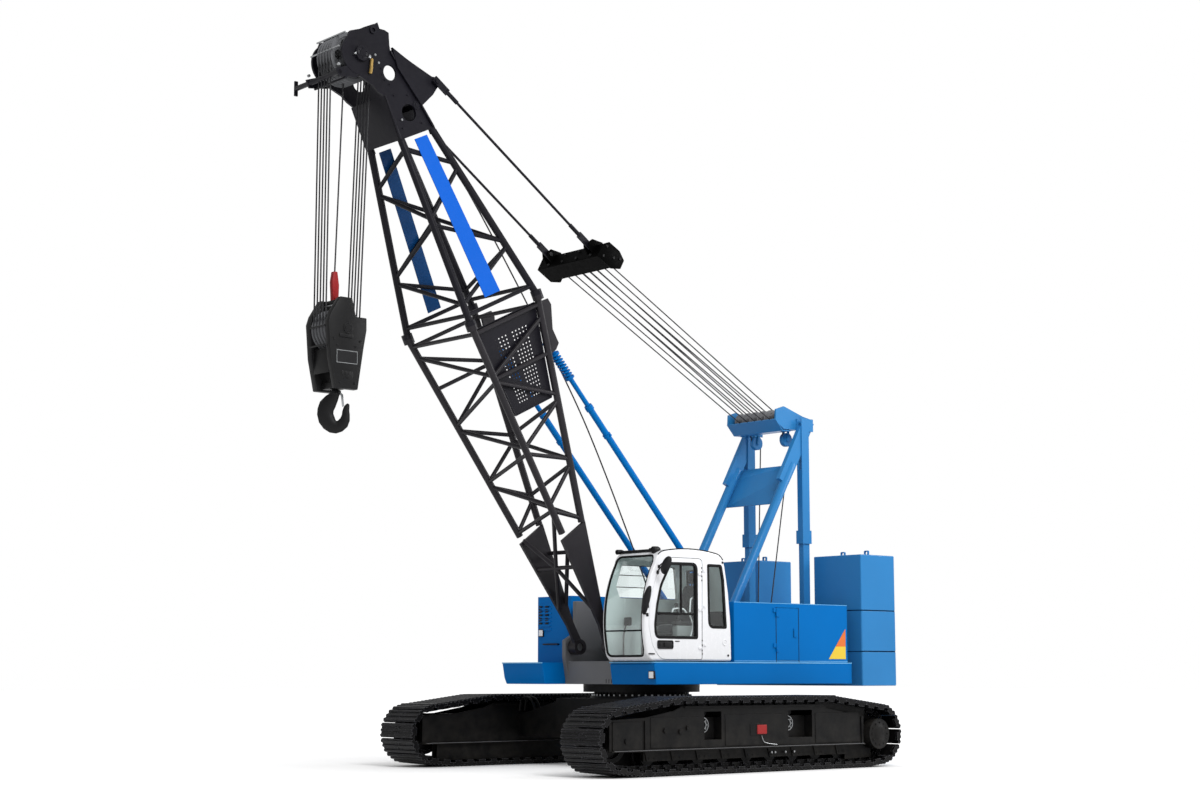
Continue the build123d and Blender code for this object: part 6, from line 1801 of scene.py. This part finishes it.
# %% Seat cloth
CLOTH, cloth_tree, cloth_shader = shaded("seat_weave", {
    "Roughness": 0.9, "Sheen Weight": 0.3, "Specular IOR Level": 0.2})
threads = [texture(cloth_tree, "ShaderNodeTexWave", {"Scale": 190.0, "Distortion": 1.2,
                                                     "Detail": 1.0}, bands_direction=direction)
           for direction in ("X", "Z")]
weave = math_node(cloth_tree, "MULTIPLY", threads[0].outputs["Fac"], threads[1].outputs["Fac"])
worn_patch = texture(cloth_tree, "ShaderNodeTexNoise", {"Scale": 3.0})
thread_shade = mix_color(cloth_tree, weave, card(24, 25, 29), card(52, 54, 60))
faded = ramp(cloth_tree, worn_patch.outputs["Fac"], 0.4, 0.8, 0, 0.3)
link(cloth_tree, mix_color(cloth_tree, faded, thread_shade, card(72, 73, 76)),
     cloth_shader.inputs["Base Color"])
cloth_bump = node(cloth_tree, "ShaderNodeBump", {"Strength": 0.3, "Distance": 0.002})
link(cloth_tree, weave, cloth_bump.inputs["Height"])
link(cloth_tree, cloth_bump.outputs["Normal"], cloth_shader.inputs["Normal"])


def cushion(spot, size, crown):
    """A padded cushion: a cube cut finely, its sides drawn in and its faces crowned."""
    bm = bmesh.new()
    bmesh.ops.create_cube(bm, size=2)
    bmesh.ops.subdivide_edges(bm, edges=bm.edges[:], cuts=11, use_grid_fill=True)
    half = Vector(size) / 2
    for vert in bm.verts:
        x, y, z = vert.co
        length = (abs(x) ** 6 + abs(y) ** 6 + abs(z) ** 6) ** (1 / 6)
        x, y, z = vert.co / length
        drawn = 1 - 0.05 * math.cos(x * math.pi / 2) * abs(y) ** 4
        drawn_y = 1 - 0.05 * math.cos(y * math.pi / 2) * abs(x) ** 4
        raised = crown * math.cos(x * math.pi / 2) * math.cos(y * math.pi / 2)
        channel = 0.008 * sum(math.exp(-((y - line) / 0.07) ** 2) for line in (-0.4, 0, 0.4))
        height = z * half.z + (raised - channel * (1 - x ** 8)) * max(z, 0)
        vert.co = spot @ Vector((x * half.x * drawn_y, y * half.y * drawn, height))
    return bm


def finish_cushion(name, bm):
    """Close a cushion as a padded piece of the seat."""
    piece = finish_piece(name, bm, "upper", [CLOTH], crease=60)
    rounding = piece.modifiers.new("rounding", "SUBSURF")
    rounding.levels = rounding.render_levels = 1


SEAT_TOP = CAB_FLOOR + CAB_WALL + 0.40
lying = Matrix.Translation(at(0.21, 1.05, SEAT_TOP)) @ Matrix.Rotation(math.radians(-5), 4, "Y")
finish_cushion("seat_cushion", cushion(lying, (0.52, 0.48, 0.13), 0.022))
leaning = (Matrix.Translation(at(-0.055, 1.05, SEAT_TOP + 0.36))
           @ Matrix.Rotation(math.radians(80), 4, "Y"))
finish_cushion("seat_back", cushion(leaning, (0.62, 0.44, 0.11), 0.020))
resting = (Matrix.Translation(at(-0.135, 1.05, SEAT_TOP + 0.76))
           @ Matrix.Rotation(math.radians(82), 4, "Y"))
finish_cushion("seat_head_rest", cushion(resting, (0.17, 0.28, 0.09), 0.012))

# %% [markdown]
# Under the cushions stands a sprung base with a bellows, and the seat carries its own frame.
# On both sides are consoles with a lever in a rubber boot; a screen on a bent post and the two
# travel levers with their pedals stand at the front.

# %% Seat frame and controls
bm = bmesh.new()
floor_z = CAB_FLOOR + CAB_WALL
block(bm, at(0.01, 0.88, floor_z), at(0.41, 1.22, floor_z + 0.05), edge=0.01)
for i in range(4):
    z = floor_z + 0.05 + i * 0.06
    block(bm, at(0.03, 0.90, z), at(0.39, 1.20, z + 0.062), edge=0.026)
block(bm, at(-0.02, 0.84, floor_z + 0.285), at(0.43, 1.26, floor_z + 0.335), edge=0.012)
for y in (0.93, 1.17):
    hose(bm, [at(x, y, floor_z + z) for x, z in ((-0.02, 0.31), (-0.06, 0.36), (-0.10, 0.7),
                                                 (-0.17, 1.14))], 0.012)
finish_piece("seat_base", bm, "upper", [PLASTIC], replaces=["cab_seat"])

bm = bmesh.new()
for y in (0.73, 1.365):
    block(bm, at(0.06, y - 0.058, floor_z), at(0.60, y + 0.055, floor_z + 0.46), edge=0.025,
          steps=3)
paint(bm, 1)
for y in (0.73, 1.365):
    block(bm, at(0.05, y - 0.06, floor_z + 0.455), at(0.615, y + 0.055, floor_z + 0.515), edge=0.02)
    spot = frame_at(at(0.525, y, floor_z + 0.51), FORWARD, Vector((0.16, 0, 1)))
    turned(bm, ((0.048, 0), (0.040, 0.018), (0.042, 0.024), (0.030, 0.045), (0.032, 0.05),
                (0.020, 0.08), (0, 0.08)), spot, 20)
    bar(bm, spot @ Vector((0, 0, 0.05)), spot @ Vector((0, 0, 0.19)), 0.010, sides=12)
    turned(bm, ((0, 0.16), (0.020, 0.17), (0.026, 0.20), (0.023, 0.235), (0.028, 0.25),
                (0.018, 0.268), (0, 0.27)), spot, 18)
hose(bm, [at(0.98, 0.70, floor_z), at(0.98, 0.70, floor_z + 0.30), at(0.96, 0.71, floor_z + 0.42),
          at(0.94, 0.72, floor_z + 0.50)], 0.010)
block(bm, at(0.905, 0.67, floor_z + 0.46), at(0.945, 0.80, floor_z + 0.58), edge=0.012)
for y in (0.96, 1.12):
    bar(bm, at(0.86, y, floor_z + 0.02), at(0.80, y, floor_z + 0.52), 0.010, sides=12)
    bar(bm, at(0.803, y, floor_z + 0.50), at(0.790, y, floor_z + 0.60), 0.018, sides=14)
    block(bm, at(0.86, y - 0.04, floor_z + 0.01), at(1.02, y + 0.04, floor_z + 0.04), edge=0.008)
block(bm, at(-0.02, 0.66, floor_z), at(1.12, 1.44, floor_z + 0.012), edge=0.004)
paint(bm, 0)
plate(bm, rounded([(0.680, floor_z + 0.47), (0.790, floor_z + 0.47), (0.790, floor_z + 0.57),
                   (0.680, floor_z + 0.57)], 0.01), 0.003,
      frame_at(at(0.902, 0, 0), LEFT, FORWARD))
paint(bm, 2)
finish_piece("cab_consoles", bm, "upper", [PLASTIC, INTERIOR, RUBBER],
             replaces=["cab_controls"])

# %% [markdown]
# The last group is the small work that gives a big machine its scale: seams between panels,
# lips that stiffen an edge of sheet, coloured as a painted highlight, lamps, louvres, lifting
# eyes, pins and bolt heads. None of it is a part of its own, so each body of the machine carries
# its own fittings as one piece.

# %% Slewing cover and deck fittings
# Light blue for the lips: a painted highlight along the edges of the sheet.
PAINTED_HIGHLIGHT_LIP = coated("blue_lip_painted_highlight", (104, 170, 214), 0.36, drift=0.05, specular=0.12)
SEAM = coated("panel_seam", (4, 26, 52), 0.7, specular=0.05, rub_and_highlight=0.0)
LAMP = coated("lamp_lens", (232, 233, 236), 0.2, drift=0.02, coat=0.6, rub_and_highlight=0.0, top_dust=0.02)
ORANGE = coated("warning_orange", (214, 106, 32), 0.4, drift=0.03, rub_and_highlight=0.0)
YELLOW = coated("warning_yellow", (222, 188, 44), 0.4, drift=0.03, rub_and_highlight=0.0)


def box_lamp(bm, low, high):
    """The housing of a square lamp; gives the middle of its front, where the lens goes."""
    block(bm, low, high, edge=0.004)
    return (low + high) / 2 + FORWARD * ((high - low).x / 2)


def louvres(bm, low_y, high_y, low_z, high_z, x, count):
    """Slats across an opening in a front panel, each leaning outwards."""
    pitch = (high_z - low_z) / count
    for i in range(count):
        z = low_z + pitch * i
        plate(bm, ((x, z), (x + 0.016, z + pitch * 0.25), (x + 0.016, z + pitch * 0.40),
                   (x, z + pitch * 0.75)), high_y - low_y, upright(SWING_X, high_y))


FRAME_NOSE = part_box("main_frame")[1].x - at(0, 0, 0).x - 0.06
bm = bmesh.new()
turned(bm, ((0.805, 1.092), (0.868, 1.092), (0.868, 1.206), (0.805, 1.206), (0.805, 1.092)),
       frame_at(at(0, 0, 0), FORWARD, UP), 64)
for x in (-1.338, -1.822):
    block(bm, at(x - 0.004, 1.500, 1.523), at(x + 0.004, 1.5075, 2.330))
paint(bm, 0)
# Light blue strips along the deck's edges and across the house side: painted highlights.
for y, z, front in ((1.504, 1.523, 1.127), (-1.509, 1.523, 1.458)):
    side = math.copysign(1, y)
    sheet(bm, (-3.0, front), (y - side * 0.006, y + side * 0.004), (z - 0.012, z + 0.003), 0.002)
    sheet(bm, (front - 0.004, front + 0.005), (side * 0.56, y), (z - 0.014, z + 0.003), 0.002)
for z in (1.545, 2.397):
    block(bm, at(-2.902, 1.502, z - 0.004), at(-0.460, 1.507, z + 0.003))
paint(bm, 1)
lenses = [box_lamp(bm, at(1.085, 1.385, 1.285), at(1.125, 1.500, 1.400)),
          box_lamp(bm, at(0.776, -1.455, 1.915), at(0.800, -1.345, 2.030))]
for low_y, high_y in ((-1.455, -1.385), (-1.305, -1.235)):
    louvres(bm, low_y, high_y, 2.10, 2.40, 0.780, 7)
bar(bm, at(0.815, -1.32, 1.80), at(0.815, -0.98, 1.80), 0.012, sides=10)
for y in (-1.31, -0.99):
    bar(bm, at(0.775, y, 1.80), at(0.815, y, 1.80), 0.011, sides=10)
block(bm, at(-1.77, 1.503, 1.90), at(-1.71, 1.516, 2.00), edge=0.004)
for y in (0.36, 0.42, 0.48):
    block(bm, at(FRAME_NOSE - 0.004, y, 1.225), at(FRAME_NOSE + 0.002, y + 0.012, 1.280))
paint(bm, 2)
for middle in lenses:
    block(bm, middle + Vector((0, -0.045, -0.045)), middle + Vector((0.004, 0.045, 0.045)))
paint(bm, 3)
plate(bm, ((-2.86, 1.580), (-2.48, 1.580), (-2.637, 1.770), (-2.86, 1.770)), 0.002,
      upright(SWING_X, 1.507))
paint(bm, 4)
plate(bm, ((-2.86, 1.770), (-2.637, 1.770), (-2.86, 2.040)), 0.002, upright(SWING_X, 1.507))
paint(bm, 5)
finish_piece("upper_fittings", bm, "upper", [CRAWLER_BLACK, PAINTED_HIGHLIGHT_LIP, PLASTIC, LAMP, YELLOW, ORANGE])

# %% Counterweight seams
bm = bmesh.new()
for z in (1.700, 2.330):
    block(bm, at(-3.90, 1.590, z - 0.006), at(-3.13, 1.6065, z + 0.006))
    block(bm, at(-3.135, 1.05, z - 0.006), at(-3.1255, 1.6065, z + 0.006))
finish_piece("counterweight_fittings", bm, "upper", [SEAM])

# %% [markdown]
# Last, the sizes. Only the corners of the track shoes reach outside the frame's own box, by less
# than 3 mm.
